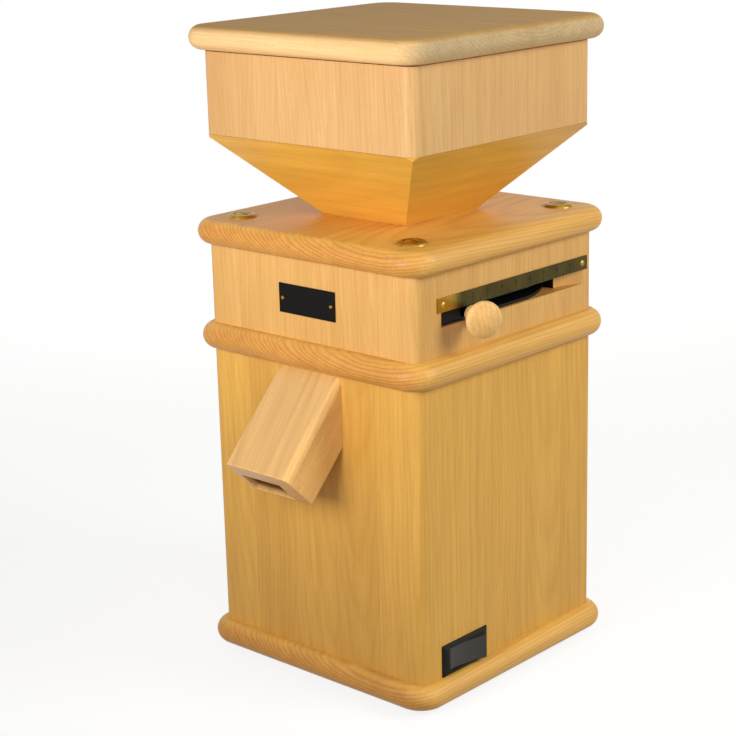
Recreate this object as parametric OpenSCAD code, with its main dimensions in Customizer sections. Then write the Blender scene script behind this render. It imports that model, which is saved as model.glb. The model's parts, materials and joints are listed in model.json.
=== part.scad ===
// Electric grain mill: a wooden cased table-top stone mill with its hopper, grinding chamber and motor.
// Z is up and sizes are in millimetres. The origin is on the table, under the middle of the whole outline. Places are
// written from the middle of the square case, and placed() moves each piece to that origin.
// The flour spout is on the front, -Y. The setting lever and the switch are on the right side, +X.

/* [Case] */
// Width and depth of the square case
case_w = 226; // [216:1:250]
// Wall of the lower case, around the motor
case_wall = 18; // [14:1:20]
// Height of the lower case
lower_case_h = 243.5; // [235:0.5:280]
// Height of the upper case, around the grinding chamber
upper_case_h = 66.5; // [58:0.5:76]
// Radius of the upright corners of both cases
case_corner_r = 8; // [3:0.5:12]

/* [Boards] */
// How far the base, middle and top boards stand out past the case
board_reach = 12; // [6:0.5:16]
// Radius of the boards' corners
board_corner_r = 24; // [16:1:34]
// Thickness of the base board
base_t = 20.5; // [16:0.5:26]
// Thickness of the middle board, between the two cases
middle_t = 22; // [18:0.5:26]
// Thickness of the top board, under the funnel
top_t = 20.5; // [18:0.5:26]

/* [Hopper] */
// Outer width of the square hopper box
hopper_w = 223; // [200:1:236]
// Height of the hopper box above the funnel
hopper_h = 68; // [50:1:110]
// Wall of the hopper box
hopper_wall = 14; // [10:0.5:18]
// Radius of the hopper box's upright corners
hopper_corner_r = 9; // [2:0.5:13]
// Height of the funnel under the hopper box
funnel_h = 69; // [60:1:80]
// Outer width of the funnel where it meets the top board
funnel_foot_w = 89; // [84:1:100]
// Thickness of the funnel's boards, measured level
funnel_wall = 16; // [12:0.5:17]

/* [Lid] */
// Thickness of the lid
lid_t = 19.5; // [14:0.5:24]
// How far the lid stands out past the hopper box
lid_reach = 13.5; // [6:0.5:18]
// Thickness of the board under the lid that keeps it in place
locator_t = 8; // [5:0.5:12]
// Gap all round between that board and the hopper box
locator_gap = 1.5; // [0.8:0.1:3]
// Height of the shadow gap under the lid's edge
shadow_gap_h = 1.2; // [0.6:0.1:3]
// Depth of the shadow gap from the hopper box's sides
shadow_gap_depth = 6; // [2:0.5:8]

/* [Spout] */
// Outer width of the flour spout
spout_w = 67; // [58:1:76]
// Outer height of the spout, square to its length
spout_h = 41; // [36:0.5:44]
// Length of the spout's upper face outside the case
spout_l = 94; // [60:1:110]
// Slope of the spout below level, in degrees
spout_angle = 46; // [42:1:50]
// Thickness of the spout's boards
spout_wall = 7.5; // [6:0.5:9]
// Radius of the spout's two upper long edges
spout_edge_r = 5; // [2:0.5:6]

/* [Setting lever] */
// How far the stones' axis lies behind the middle of the case
axis_y = 7; // [4:0.5:9]
// Height of the lever's slot in the upper case
slot_h = 12; // [11:0.5:14]
// Height of the slot's middle above the middle board
slot_above_middle = 29; // [26:0.5:32]
// Reach of the slot either way from the stones' axis
slot_reach = 91; // [84:1:92]
// Depth of the slot's run-out at its back end
slot_runout_depth = 9.5; // [6:0.5:12]
// Radius of the cutter that leaves the run-out
slot_cutter_r = 44; // [40:1:60]
// Angle of the lever at its fine stop, forward of straight out
lever_fine_angle = 27; // [20:1:27]
// Angle that the lever turns back to its coarse stop
lever_travel = 52; // [30:1:52]
// Diameter of the lever's rod
lever_d = 6; // [5:0.5:7]
// How much farther than half the case's width the knob starts, measured along the lever
knob_start = 20; // [20:1:27]
// Length of the knob
knob_l = 29; // [24:1:34]
// Diameter of the knob's rim
knob_d = 29; // [24:0.5:32]
// Diameter of the knob's neck
knob_neck_d = 14; // [12:0.5:17]

/* [Plates] */
// Length of the brass scale plate
scale_l = 192; // [180:1:194]
// Height of the brass scale plate
scale_h = 11.5; // [10:0.5:13]
// Thickness of the brass scale plate
scale_t = 1.2; // [0.8:0.1:2]
// Distance from each end of the scale plate to its screw
scale_screw_inset = 6.5; // [5:0.5:9]
// Width of the bare nameplate
nameplate_w = 60.5; // [50:0.5:70]
// Height of the bare nameplate
nameplate_h = 24; // [18:0.5:28]
// Thickness of the bare nameplate
nameplate_t = 1; // [0.6:0.1:2]
// Height of the nameplate's middle above the middle board
nameplate_above_middle = 32.5; // [26:0.5:36]

/* [Top screws] */
// Distance from the case's sides to the screws that hold the top
top_screw_inset = 21; // [20:0.5:24]
// Diameter of the brass cup washers
cup_d = 25; // [20:0.5:28]
// Height of the brass cup washers
cup_h = 2.6; // [2:0.1:4]
// How far the rims of the top screws' heads lie below the washers' ridges
top_screw_sink = 0.8; // [0.4:0.1:1.2]
// Height of the domes on the top screws' heads
top_screw_dome = 1.5; // [0.8:0.1:2.5]
// Diameter of the top screws' heads
top_screw_head_d = 14; // [12:0.5:16]
// Diameter of the top screws' shanks
top_screw_d = 6; // [5:0.5:7]
// Length of the top screws
top_screw_l = 46; // [36:1:56]

/* [Switch] */
// Width of the switch's frame
switch_w = 56; // [52:0.5:62]
// Height of the switch's frame
switch_h = 27; // [24:0.5:29]
// How far the switch's frame stands out of the case
switch_t = 3; // [2:0.1:4]
// Distance from the front of the case to the middle of the switch
switch_from_front = 52; // [48:0.5:60]
// Tilt of the rocker from level at either stop, in degrees
rocker_tilt = 9; // [6:0.5:10]
// Depth of the switch's body inside the case
switch_depth = 36; // [28:1:40]

/* [Grinding chamber] */
// Diameter of both stones
stone_d = 116; // [100:1:118]
// Thickness of the turning lower stone
lower_stone_t = 22; // [18:0.5:23]
// Thickness of the fixed upper stone
upper_stone_t = 18; // [14:0.5:18]
// Diameter of the upper stone's eye, where the grain falls in
eye_d = 40; // [38:1:46]
// Gap between the stones at the fine stop
stone_gap = 0.4; // [0.3:0.1:1]
// Lift of the upper stone for one whole turn of its setting ring
thread_lead = 14; // [8:1:18]
// Outer diameter of the chamber's cast wall
chamber_d = 160; // [156:1:162]
// Thickness of the chamber's cast wall
chamber_wall = 5; // [4:0.5:6]
// Thickness of the chamber's cast floor
chamber_floor_t = 6; // [5:0.5:7]
// Thickness of the setting ring
ring_wall = 6.5; // [5:0.5:7]
// Diameter of the round hollow in the upper case
hollow_d = 178; // [178:1:182]
// Outer diameter of the feed tube
feed_tube_d = 32; // [28:0.5:34]
// Wall of the feed tube
feed_tube_wall = 3; // [2:0.5:4]

/* [Motor] */
// Outer diameter of the motor's housing
motor_d = 112; // [104:1:112]
// Length of the motor's housing between its end shields
motor_l = 112; // [100:1:120]
// Wall of the motor's housing
motor_wall = 4; // [3:0.5:6]
// Diameter of the motor's shaft
shaft_d = 15; // [12:0.5:16]
// Outer diameter of the shaft's ball bearings
bearing_d = 35; // [32:0.5:38]
// Width of the shaft's ball bearings
bearing_w = 11; // [9:0.5:12]
// Thickness of each end shield
shield_t = 14; // [14:0.5:18]
// Diameter of the cooling fan
fan_d = 100; // [80:1:104]
// Number of blades on the cooling fan
fan_blades = 9; // [5:1:12]
// Diameter of the run capacitor
capacitor_d = 38; // [32:1:40]
// Length of the run capacitor
capacitor_l = 72; // [50:1:90]

/* [Base fittings] */
// Diameter of the rubber feet
foot_d = 24; // [18:1:30]
// Height of the rubber feet
foot_h = 4; // [3:0.5:8]
// Distance from the board's sides to the middle of each foot
foot_inset = 34; // [30:1:44]
// Diameter of the cooling air holes in the base board
vent_d = 10; // [6:0.5:12]
// Diameter of the cord gland's opening
gland_bore_d = 8; // [6:0.5:9]

/* [Hidden] */
$fn = 64;

// Clearances
face_gap = 0.3;       // between pieces that move past each other
bore_gap = 0.05;      // round a pin, screw or shaft in its bore
running_gap = 0.4;    // round the turning setting ring
past = 1;             // how far a cut runs past the face it opens

// Heights of the stack, from the table up
base_z = foot_h;
lower_case_z = base_z + base_t;
middle_z = lower_case_z + lower_case_h;
upper_case_z = middle_z + middle_t;
top_z = upper_case_z + upper_case_h;
funnel_z = top_z + top_t;
hopper_z = funnel_z + funnel_h;
lid_z = hopper_z + hopper_h;

// Plan sizes
case_half = case_w / 2;
board_w = case_w + 2 * board_reach;
lid_w = hopper_w + 2 * lid_reach;
hopper_in_w = hopper_w - 2 * hopper_wall;
switch_y = -case_half + switch_from_front;
switch_z = lower_case_z + switch_h / 2;
foot_place = board_w / 2 - foot_inset;

// The slot, its window into the chamber and the lever
slot_z = upper_case_z + slot_above_middle;
window_front_y = axis_y - slot_reach;
window_back_y = axis_y + slot_reach - sqrt(pow(slot_cutter_r, 2) - pow(slot_cutter_r - slot_runout_depth, 2));
window_depth = 53;
window_inner_x = case_half - window_depth;
scale_z = slot_z + slot_h / 2;

// The chamber's stack, from its floor up
chamber_r = chamber_d / 2;
chamber_in_r = chamber_r - chamber_wall;
chamber_floor_z = upper_case_z + chamber_floor_t;
holder_gap = 3.5;
holder_t = 5.5;
holder_z = chamber_floor_z + holder_gap;
lower_stone_z = holder_z + holder_t;
upper_stone_z = lower_stone_z + lower_stone_t + stone_gap;
carrier_z = upper_stone_z + upper_stone_t;
carrier_t = 5;
ring_z = slot_z - slot_h / 2 - past;
ring_r = chamber_r + running_gap + ring_wall;
ring_top_z = top_z - face_gap;
skirt_drop = 14;
carrier_lift = thread_lead * lever_travel / 360;
carrier_recess = max(0, carrier_z + carrier_t + carrier_lift + face_gap - top_z);
nut_d = 24;
nut_h = 8;
stone_cup_d = 34;
stone_cup_h = 11;

// The motor's stack, from the middle board down
shield_z = middle_z - shield_t;
housing_z = shield_z - motor_l;
bottom_shield_z = housing_z - shield_t;
fan_gap = 6;
fan_h = 16;
fan_z = bottom_shield_z - fan_gap - fan_h;
shaft_tip = 3;
shaft_inset = 1;
shaft_end_z = fan_z - shaft_tip;
shaft_top_z = lower_stone_z + lower_stone_t - stone_cup_h + nut_h - shaft_inset;

// The spout: its slope, and where its upper face leaves the case
spout_drop = 2;
spout_top_z = middle_z - spout_drop;

// The knob's rim and dome
knob_reach = case_half + knob_start;
knob_rim_r = knob_d / 2;
knob_rim_edge = 4.5;
knob_dome_r = 26;
knob_dome_rise = knob_dome_r - sqrt(pow(knob_dome_r, 2) - pow(knob_rim_r - knob_rim_edge, 2));
knob_rim_z = knob_l - knob_dome_rise - knob_rim_edge;

// The origin lies under the middle of the whole mill's outline, seen from above. The outline runs from the
// spout's mouth to the back of the boards, and from their left side to the knob's rim at the fine stop.
outline_half = max(board_w, lid_w) / 2;
outline_front = case_half + spout_l * cos(spout_angle);
outline_right = (knob_reach + knob_rim_z) * cos(lever_fine_angle)
    + (knob_rim_r - knob_rim_edge) * sin(lever_fine_angle) + knob_rim_edge;
origin_x = (outline_right - outline_half) / 2;
origin_y = (outline_half - outline_front) / 2;

// Moves its children from the middle of the case to the origin
module placed() {
    translate([-origin_x, -origin_y, 0]) children();
}

// A square with round corners, centred
module round_square(w, r) {
    square([w - 2 * r, w], center = true);
    square([w, w - 2 * r], center = true);
    for (x = [-1, 1], y = [-1, 1])
        translate([x * (w / 2 - r), y * (w / 2 - r)]) circle(r);
}

// A board with round corners and half round edges, standing on z = 0
module round_board(w, t, corner_r) {
    edge_r = t / 2;
    straight = w - 2 * corner_r;
    core = w - 2 * edge_r;
    translate([-core / 2, -straight / 2, 0]) cube([core, straight, t]);
    translate([-straight / 2, -core / 2, 0]) cube([straight, core, t]);
    for (side = [0 : 90 : 270])
        rotate([0, 0, side]) {
            translate([straight / 2, core / 2, edge_r])
                rotate([0, -90, 0])
                    linear_extrude(straight) half_disc(edge_r);
            translate([straight / 2, straight / 2, 0])
                rotate_extrude(angle = 90) {
                    square([corner_r - edge_r, t]);
                    translate([corner_r - edge_r, edge_r]) rotate([0, 0, -90]) half_disc(edge_r);
                }
        }
}

// A frustum standing on z = 0, from one rectangle to another
module frustum(h, low, high) {
    reach = 2 * max(low[0], low[1], high[0], high[1]);
    intersection() {
        rotate([90, 0, 0]) linear_extrude(reach, center = true) tapered_profile(h, low[0], high[0]);
        rotate([90, 0, 90]) linear_extrude(reach, center = true) tapered_profile(h, low[1], high[1]);
    }
}

module tapered_profile(h, low_w, high_w) {
    polygon([[-low_w / 2, 0], [low_w / 2, 0], [high_w / 2, h], [-high_w / 2, h]]);
}

// Half a disc, on the +Y side of its flat
module half_disc(r) {
    intersection() {
        circle(r);
        translate([-r, 0]) square([2 * r, r]);
    }
}

// Copies at the four corners of a square
module at_corners(place) {
    for (x = [-1, 1], y = [-1, 1]) translate([x * place, y * place, 0]) children();
}

// Copies spaced evenly round the stones' axis
module round_axis(count, radius, start = 0) {
    for (i = [0 : count - 1])
        translate([0, axis_y, 0]) rotate([0, 0, start + i * 360 / count]) translate([radius, 0, 0])
            children();
}

// A countersunk screw pointing down, with the top of its head at z = 0
module countersunk_screw(d, head_d, l, slot_w) {
    head_h = (head_d - d) / 2;
    difference() {
        union() {
            translate([0, 0, -head_h]) cylinder(h = head_h, d1 = d, d2 = head_d);
            translate([0, 0, -l]) cylinder(h = l - head_h, d = d);
        }
        translate([-head_d / 2 - past, -slot_w / 2, -slot_w])
            cube([head_d + 2 * past, slot_w, slot_w + past]);
    }
}

// The hole that such a screw sinks into, with play all round
module countersunk_hole(d, head_d, l, play) {
    head_h = (head_d - d) / 2;
    translate([0, 0, -head_h]) cylinder(h = head_h, d1 = d + 2 * play, d2 = head_d + 2 * play);
    translate([0, 0, -past / 100]) cylinder(h = past, d = head_d + 2 * play);
    translate([0, 0, -l - past]) cylinder(h = l + past, d = d + 2 * play);
}

// ---- Base ----

foot_taper = 2;
foot_screw_d = 4;
foot_screw_head_d = 8;
foot_screw_l = 16;
foot_recess_play = 0.5;
base_screw_d = 4.5;
base_screw_head_d = 9;
base_screw_l = 40;
base_screw_slot = 1;
base_screw_place = case_half - case_wall / 2;
inner_vents = 6;
inner_vents_r = 22;
outer_vents = 12;
outer_vents_r = 42;

module feet() {
    color("#2b2b2b") placed()
        at_corners(foot_place) difference() {
            cylinder(h = foot_h, d1 = foot_d - foot_taper, d2 = foot_d);
            translate([0, 0, -past]) cylinder(h = foot_h + 2 * past, d = foot_screw_d + 2 * bore_gap);
            translate([0, 0, -past])
                cylinder(h = foot_h / 2 + past, d = foot_screw_head_d + 2 * foot_recess_play);
        }
}

module feet_screws() {
    color("silver") placed()
        at_corners(foot_place) translate([0, 0, foot_h / 2]) {
            cylinder(h = foot_screw_l, d = foot_screw_d);
            translate([0, 0, -foot_h / 4]) cylinder(h = foot_h / 4, d = foot_screw_head_d);
        }
}

module base_board() {
    vent_rings = [[inner_vents, inner_vents_r], [outer_vents, outer_vents_r]];
    color("#dfae6e") placed()
        difference() {
            translate([0, 0, base_z]) round_board(board_w, base_t, board_corner_r);
            for (ring = vent_rings)
                round_axis(ring[0], ring[1]) translate([0, 0, base_z - past])
                    cylinder(h = base_t + 2 * past, d = vent_d);
            at_corners(foot_place) translate([0, 0, base_z - past])
                cylinder(h = foot_screw_l, d = foot_screw_d + 2 * bore_gap);
            at_corners(base_screw_place) translate([0, 0, base_z])
                mirror([0, 0, 1]) countersunk_hole(base_screw_d, base_screw_head_d, base_t, bore_gap);
        }
}

module base_screws() {
    color("silver") placed()
        at_corners(base_screw_place) translate([0, 0, base_z])
            mirror([0, 0, 1])
                countersunk_screw(base_screw_d, base_screw_head_d, base_screw_l, base_screw_slot);
}

// ---- Lower case ----

gland_above_base = 38;
gland_z = lower_case_z + gland_above_base;
gland_x = -60;
gland_wall = 3;
gland_d = gland_bore_d + 2 * gland_wall;
gland_flange_reach = 4;
gland_flange_d = gland_d + 2 * gland_flange_reach;
gland_flange_t = 3;
gland_tail = 4;
switch_body_w = 47;
switch_body_inset = 1.5;
switch_body_h = switch_h - 2 * switch_body_inset;

module lower_case() {
    color("#e0b070") placed()
        difference() {
            translate([0, 0, lower_case_z]) linear_extrude(lower_case_h) difference() {
                round_square(case_w, case_corner_r);
                square(case_w - 2 * case_wall, center = true);
            }
            spout_envelope(bore_gap);
            translate([case_half - case_wall - past, switch_y - switch_body_w / 2 - bore_gap,
                       switch_z - switch_body_h / 2 - bore_gap])
                cube([case_wall + 2 * past, switch_body_w + 2 * bore_gap, switch_body_h + 2 * bore_gap]);
            translate([gland_x, case_half + past, gland_z]) rotate([90, 0, 0])
                cylinder(h = case_wall + 2 * past, d = gland_d + 2 * bore_gap);
            at_corners(base_screw_place) translate([0, 0, lower_case_z - past])
                cylinder(h = base_screw_l - base_t + 2 * past, d = base_screw_d + 2 * bore_gap);
        }
}

// The bush that the mains lead comes through, at the back
module cord_gland() {
    color("#1f1f1f") placed()
        translate([gland_x, case_half, gland_z]) rotate([90, 0, 0]) difference() {
            union() {
                translate([0, 0, -gland_flange_t]) cylinder(h = gland_flange_t, d = gland_flange_d);
                cylinder(h = case_wall + gland_tail, d = gland_d);
            }
            translate([0, 0, -gland_flange_t - past])
                cylinder(h = case_wall + gland_tail + gland_flange_t + 2 * past, d = gland_bore_d);
        }
}

// ---- Spout ----

// Places its children in the spout's own frame: X across, Y down the slope, Z square to its upper face
module in_spout_frame() {
    translate([0, -case_half, spout_top_z]) rotate([spout_angle, 0, 0]) mirror([0, 1, 0]) children();
}

// Length of the spout that slopes up inside the case, more than enough to reach the middle board, and of the
// channel's cut past both ends of the spout
spout_tail = 90;
channel_past = 60;

// The solid outline of the spout, cut level under the middle board
module spout_envelope(play = 0) {
    w = spout_w + 2 * play;
    r = spout_edge_r;
    intersection() {
        in_spout_frame() translate([0, -spout_tail, 0]) {
            translate([-w / 2, 0, -spout_h - play]) cube([w, spout_tail + spout_l, spout_h - r]);
            translate([-w / 2 + r, 0, -r - 2 * play]) cube([w - 2 * r, spout_tail + spout_l, r + 3 * play]);
            for (x = [-1, 1])
                translate([x * (w / 2 - r), 0, -r + play]) rotate([-90, 0, 0])
                    cylinder(h = spout_tail + spout_l, r = r);
        }
        translate([-case_half, -2 * case_w, 0]) cube([case_w, 2 * case_w, middle_z]);
    }
}

// The spout's channel, running on past both ends
module spout_channel() {
    in_spout_frame() translate([-spout_w / 2 + spout_wall, -spout_tail - channel_past, -spout_h + spout_wall])
        cube([spout_w - 2 * spout_wall, spout_tail + spout_l + 2 * channel_past, spout_h - 2 * spout_wall]);
}

module spout() {
    color("#e9bd80") placed()
        difference() {
            spout_envelope();
            spout_channel();
        }
}

// ---- Middle board ----

module middle_board() {
    color("#dba663") placed()
        difference() {
            translate([0, 0, middle_z]) round_board(board_w, middle_t, board_corner_r);
            spout_channel();
            translate([0, axis_y, middle_z - past])
                cylinder(h = middle_t + 2 * past, d = seal_d + 2 * bore_gap);
            motor_screw_places() translate([0, 0, middle_z - past])
                cylinder(h = motor_screw_l - shield_t + past, d = motor_screw_d + 2 * bore_gap);
            chamber_screw_places() translate([0, 0, upper_case_z - chamber_screw_l + chamber_floor_t])
                cylinder(h = chamber_screw_l + past, d = chamber_screw_d + 2 * bore_gap);
        }
}

// ---- Switch ----

bezel_w = 7.5;
bezel_top = 4;
bezel_bevel = 3.5;
bezel_rise = 2;
rocker_w = switch_w - 2 * bezel_w;
rocker_h = switch_h - 2 * bezel_top;
rocker_in = 3;
rocker_out = 7;
rocker_play = 0.6;
rocker_pivot_in = 2;
rocker_pivot_x = case_half - rocker_pivot_in;
rocker_pin_d = 2.4;
rocker_pin_reach = 1.2;
rocker_room = 10;
rocker_hollow_r = 90;
rocker_hollow_depth = 2.2;

// The rocker's frame, bevelled all round, with a lip that the rocker swings in
module switch_frame() {
    color("#1c1c1c") placed()
        translate([case_half, switch_y, switch_z]) rotate([0, 90, 0]) rotate([0, 0, 90]) difference() {
            union() {
                translate([-switch_w / 2, -switch_h / 2, 0])
                    cube([switch_w, switch_h, switch_t - bezel_rise]);
                translate([0, 0, switch_t - bezel_rise])
                    frustum(bezel_rise, [switch_w, switch_h],
                            [switch_w - 2 * bezel_bevel, switch_h - 2 * bezel_bevel]);
            }
            translate([-rocker_w / 2 - face_gap, -rocker_h / 2 - face_gap, -past])
                cube([rocker_w + 2 * face_gap, rocker_h + 2 * face_gap, switch_t + 2 * past]);
        }
}

// The rocker, tipped to its off side. It turns on an upright axis.
module rocker() {
    color("#262626") placed()
        translate([rocker_pivot_x, switch_y, switch_z]) rotate([0, 0, -rocker_tilt]) {
            difference() {
                translate([-rocker_in, -rocker_w / 2 + rocker_play, -rocker_h / 2])
                    cube([rocker_in + rocker_out, rocker_w - 2 * rocker_play, rocker_h]);
                translate([rocker_out - rocker_hollow_depth + rocker_hollow_r, 0, -rocker_h])
                    cylinder(h = 2 * rocker_h, r = rocker_hollow_r, $fn = 128);
            }
            cylinder(h = rocker_h + 2 * rocker_pin_reach, d = rocker_pin_d, center = true);
        }
}

module switch_body() {
    color("#303030") placed()
        translate([case_half - switch_depth, switch_y, switch_z]) difference() {
            translate([0, -switch_body_w / 2, -switch_body_h / 2])
                cube([switch_depth, switch_body_w, switch_body_h]);
            translate([switch_depth - rocker_room, -rocker_w / 2 - face_gap, -rocker_h / 2 - face_gap])
                cube([rocker_room + past, rocker_w + 2 * face_gap, rocker_h + 2 * face_gap]);
            translate([rocker_pivot_x - case_half + switch_depth, 0, 0])
                cylinder(h = rocker_h + 2 * rocker_pin_reach + 2 * face_gap, d = rocker_pin_d + 2 * bore_gap,
                         center = true);
        }
}

// ---- Motor ----

motor_r = motor_d / 2;
motor_in_r = motor_r - motor_wall;
ear_reach = 66;
ear_r = 8;
motor_screw_d = 5;
motor_screw_head_d = 9;
motor_screw_l = 30;
motor_screw_head_h = 4;
seat_drop = 1.5;
shaft_room = 3;
housing_ribs = 24;
housing_rib_reach = 2.5;
housing_rib_w = 2;
rib_root = 1;
shield_vents = 8;
shield_vents_r = 38;
shield_vent_d = 12;
winding_h = 12;
winding_inset = 6;
rotor_inset = 5;
stator_in_r = 30;
stator_l = 76;
rotor_gap = 0.6;

module motor_screw_places() {
    round_axis(4, ear_reach, 45) children();
}

// The bored seat of a ball bearing, from z up
module bearing_seat(z, h) {
    translate([0, axis_y, z]) cylinder(h = h, d = bearing_d + 2 * bore_gap);
}

// The shield's outline, with four ears for its screws
module shield_outline() {
    circle(motor_r);
    for (turn = [45 : 90 : 315])
        rotate([0, 0, turn]) {
            translate([0, -ear_r]) square([ear_reach, 2 * ear_r]);
            translate([ear_reach, 0]) circle(ear_r);
        }
}

module motor_top_shield() {
    color("#b9bcc0") placed()
        difference() {
            translate([0, axis_y, shield_z]) linear_extrude(shield_t) shield_outline();
            bearing_seat(middle_z - seat_drop - bearing_w, bearing_w + seat_drop + past);
            translate([0, axis_y, shield_z - past])
                cylinder(h = shield_t + 2 * past, d = shaft_d + 2 * shaft_room);
            motor_screw_places() translate([0, 0, shield_z - past])
                cylinder(h = shield_t + 2 * past, d = motor_screw_d + 2 * bore_gap);
        }
}

module motor_screws() {
    color("silver") placed()
        motor_screw_places() translate([0, 0, shield_z]) {
            cylinder(h = motor_screw_l, d = motor_screw_d);
            translate([0, 0, -motor_screw_head_h]) cylinder(h = motor_screw_head_h, d = motor_screw_head_d);
        }
}

module motor_housing() {
    color("#8f959b") placed()
        translate([0, axis_y, housing_z]) {
            difference() {
                union() {
                    cylinder(h = motor_l, r = motor_r - housing_rib_reach);
                    for (i = [0 : housing_ribs - 1])
                        rotate([0, 0, i * 360 / housing_ribs])
                            translate([motor_in_r + rib_root, -housing_rib_w / 2, 0])
                                cube([motor_wall - rib_root, housing_rib_w, motor_l]);
                }
                translate([0, 0, -past]) cylinder(h = motor_l + 2 * past, r = motor_in_r);
            }
        }
}

module motor_bottom_shield() {
    color("#b9bcc0") placed()
        difference() {
            translate([0, axis_y, bottom_shield_z]) cylinder(h = shield_t, r = motor_r);
            bearing_seat(bottom_shield_z + seat_drop, shield_t - seat_drop + past);
            translate([0, axis_y, bottom_shield_z - past])
                cylinder(h = shield_t + 2 * past, d = shaft_d + 2 * shaft_room);
            round_axis(shield_vents, shield_vents_r) translate([0, 0, bottom_shield_z - past])
                cylinder(h = shield_t + 2 * past, d = shield_vent_d);
        }
}

module stator() {
    color("#b4703a") placed()
        translate([0, axis_y, housing_z + (motor_l - stator_l) / 2]) difference() {
            union() {
                translate([0, 0, winding_h])
                    cylinder(h = stator_l - 2 * winding_h, r = motor_in_r - bore_gap);
                cylinder(h = stator_l, r = motor_in_r - winding_inset);
            }
            translate([0, 0, -past]) cylinder(h = stator_l + 2 * past, r = stator_in_r);
        }
}

module bearings() {
    color("#d0d3d6") placed()
        for (z = [middle_z - seat_drop - bearing_w + bore_gap, bottom_shield_z + seat_drop + bore_gap])
            translate([0, axis_y, z]) difference() {
                cylinder(h = bearing_w, d = bearing_d);
                translate([0, 0, -past]) cylinder(h = bearing_w + 2 * past, d = shaft_d + 2 * bore_gap);
            }
}

module shaft() {
    color("#c8ccd0") placed()
        translate([0, axis_y, shaft_end_z]) cylinder(h = shaft_top_z - shaft_end_z, d = shaft_d);
}

module rotor() {
    rotor_l = stator_l - 2 * rotor_inset;
    color("#777c82") placed()
        translate([0, axis_y, housing_z + (motor_l - rotor_l) / 2]) difference() {
            cylinder(h = rotor_l, r = stator_in_r - rotor_gap);
            translate([0, 0, -past]) cylinder(h = rotor_l + 2 * past, d = shaft_d + 2 * bore_gap);
        }
}

fan_hub_r = 14;
fan_plate_t = 2;
fan_blade_t = 2;
fan_blade_root = 1;

module fan() {
    color("#3a3a3a") placed()
        translate([0, axis_y, fan_z]) difference() {
            union() {
                cylinder(h = fan_h, r = fan_hub_r);
                translate([0, 0, fan_h - fan_plate_t]) cylinder(h = fan_plate_t, d = fan_d);
                for (i = [0 : fan_blades - 1])
                    rotate([0, 0, i * 360 / fan_blades])
                        translate([fan_hub_r - fan_blade_root, -fan_blade_t / 2, 0])
                            cube([fan_d / 2 - fan_hub_r - fan_blade_root, fan_blade_t, fan_h]);
            }
            translate([0, 0, -past]) cylinder(h = fan_h + 2 * past, d = shaft_d + 2 * bore_gap);
        }
}

capacitor_off_wall = 6;
capacitor_above_base = 50;
capacitor_x = -case_half + case_wall + capacitor_d / 2 + capacitor_off_wall;
capacitor_y = case_half - case_wall - capacitor_d / 2 - capacitor_off_wall;
capacitor_z = lower_case_z + capacitor_above_base;
clip_t = 1.5;
clip_h = 20;
clip_foot_w = 12;
clip_mouth_w = 16;

module capacitor() {
    color("#c9c9c4") placed()
        translate([capacitor_x, capacitor_y, capacitor_z]) cylinder(h = capacitor_l, d = capacitor_d);
}

// A spring clip round the capacitor, screwed to the left wall
module capacitor_clip() {
    clip_r = capacitor_d / 2 + bore_gap;
    clip_z = capacitor_z + capacitor_l / 2 - clip_h / 2;
    color("#9a9ea2") placed()
        difference() {
            union() {
                translate([capacitor_x, capacitor_y, clip_z]) cylinder(h = clip_h, r = clip_r + clip_t);
                translate([-case_half + case_wall, capacitor_y - clip_foot_w / 2, clip_z])
                    cube([capacitor_x + case_half - case_wall, clip_foot_w, clip_h]);
            }
            translate([capacitor_x, capacitor_y, clip_z - past]) cylinder(h = clip_h + 2 * past, r = clip_r);
            translate([capacitor_x, capacitor_y - clip_mouth_w / 2, clip_z - past])
                cube([capacitor_d, clip_mouth_w, clip_h + 2 * past]);
        }
}

// ---- Upper case ----

// Copies at the top screws, with z = 0 at the rims of their heads
module at_top_screws() {
    at_corners(case_half - top_screw_inset) translate([0, 0, funnel_z + cup_h - top_screw_sink]) children();
}

module top_screw_holes() {
    at_top_screws() countersunk_hole(top_screw_d, top_screw_head_d, top_screw_l, bore_gap);
}

// The slot: a window into the hollow, and the arc that the cutter leaves at the back end
module slot_cut() {
    translate([window_inner_x, window_front_y, slot_z - slot_h / 2])
        cube([case_w, window_back_y - window_front_y, slot_h]);
    intersection() {
        translate([case_half - slot_runout_depth + slot_cutter_r, window_back_y, slot_z - slot_h / 2])
            cylinder(h = slot_h, r = slot_cutter_r, $fn = 128);
        translate([case_half / 2, window_back_y - past, slot_z - slot_h])
            cube([case_half, 2 * slot_cutter_r, 2 * slot_h]);
    }
}

module upper_case() {
    color("#e2b272") placed()
        difference() {
            translate([0, 0, upper_case_z]) linear_extrude(upper_case_h) round_square(case_w, case_corner_r);
            translate([0, axis_y, upper_case_z - past])
                cylinder(h = upper_case_h + 2 * past, d = hollow_d, $fn = 128);
            slot_cut();
            top_screw_holes();
            plate_screw_holes();
        }
}

guide_drop = 11;      // how far the guide's flat face lies inside the case's side
guide_arc_inset = 3;  // how far the arc of its back end is struck inside the case's side
guide_lip_t = 1.2;    // thickness of its lip along the window's back end
slit_play = 0.5;
slit_end = 4;

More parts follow.
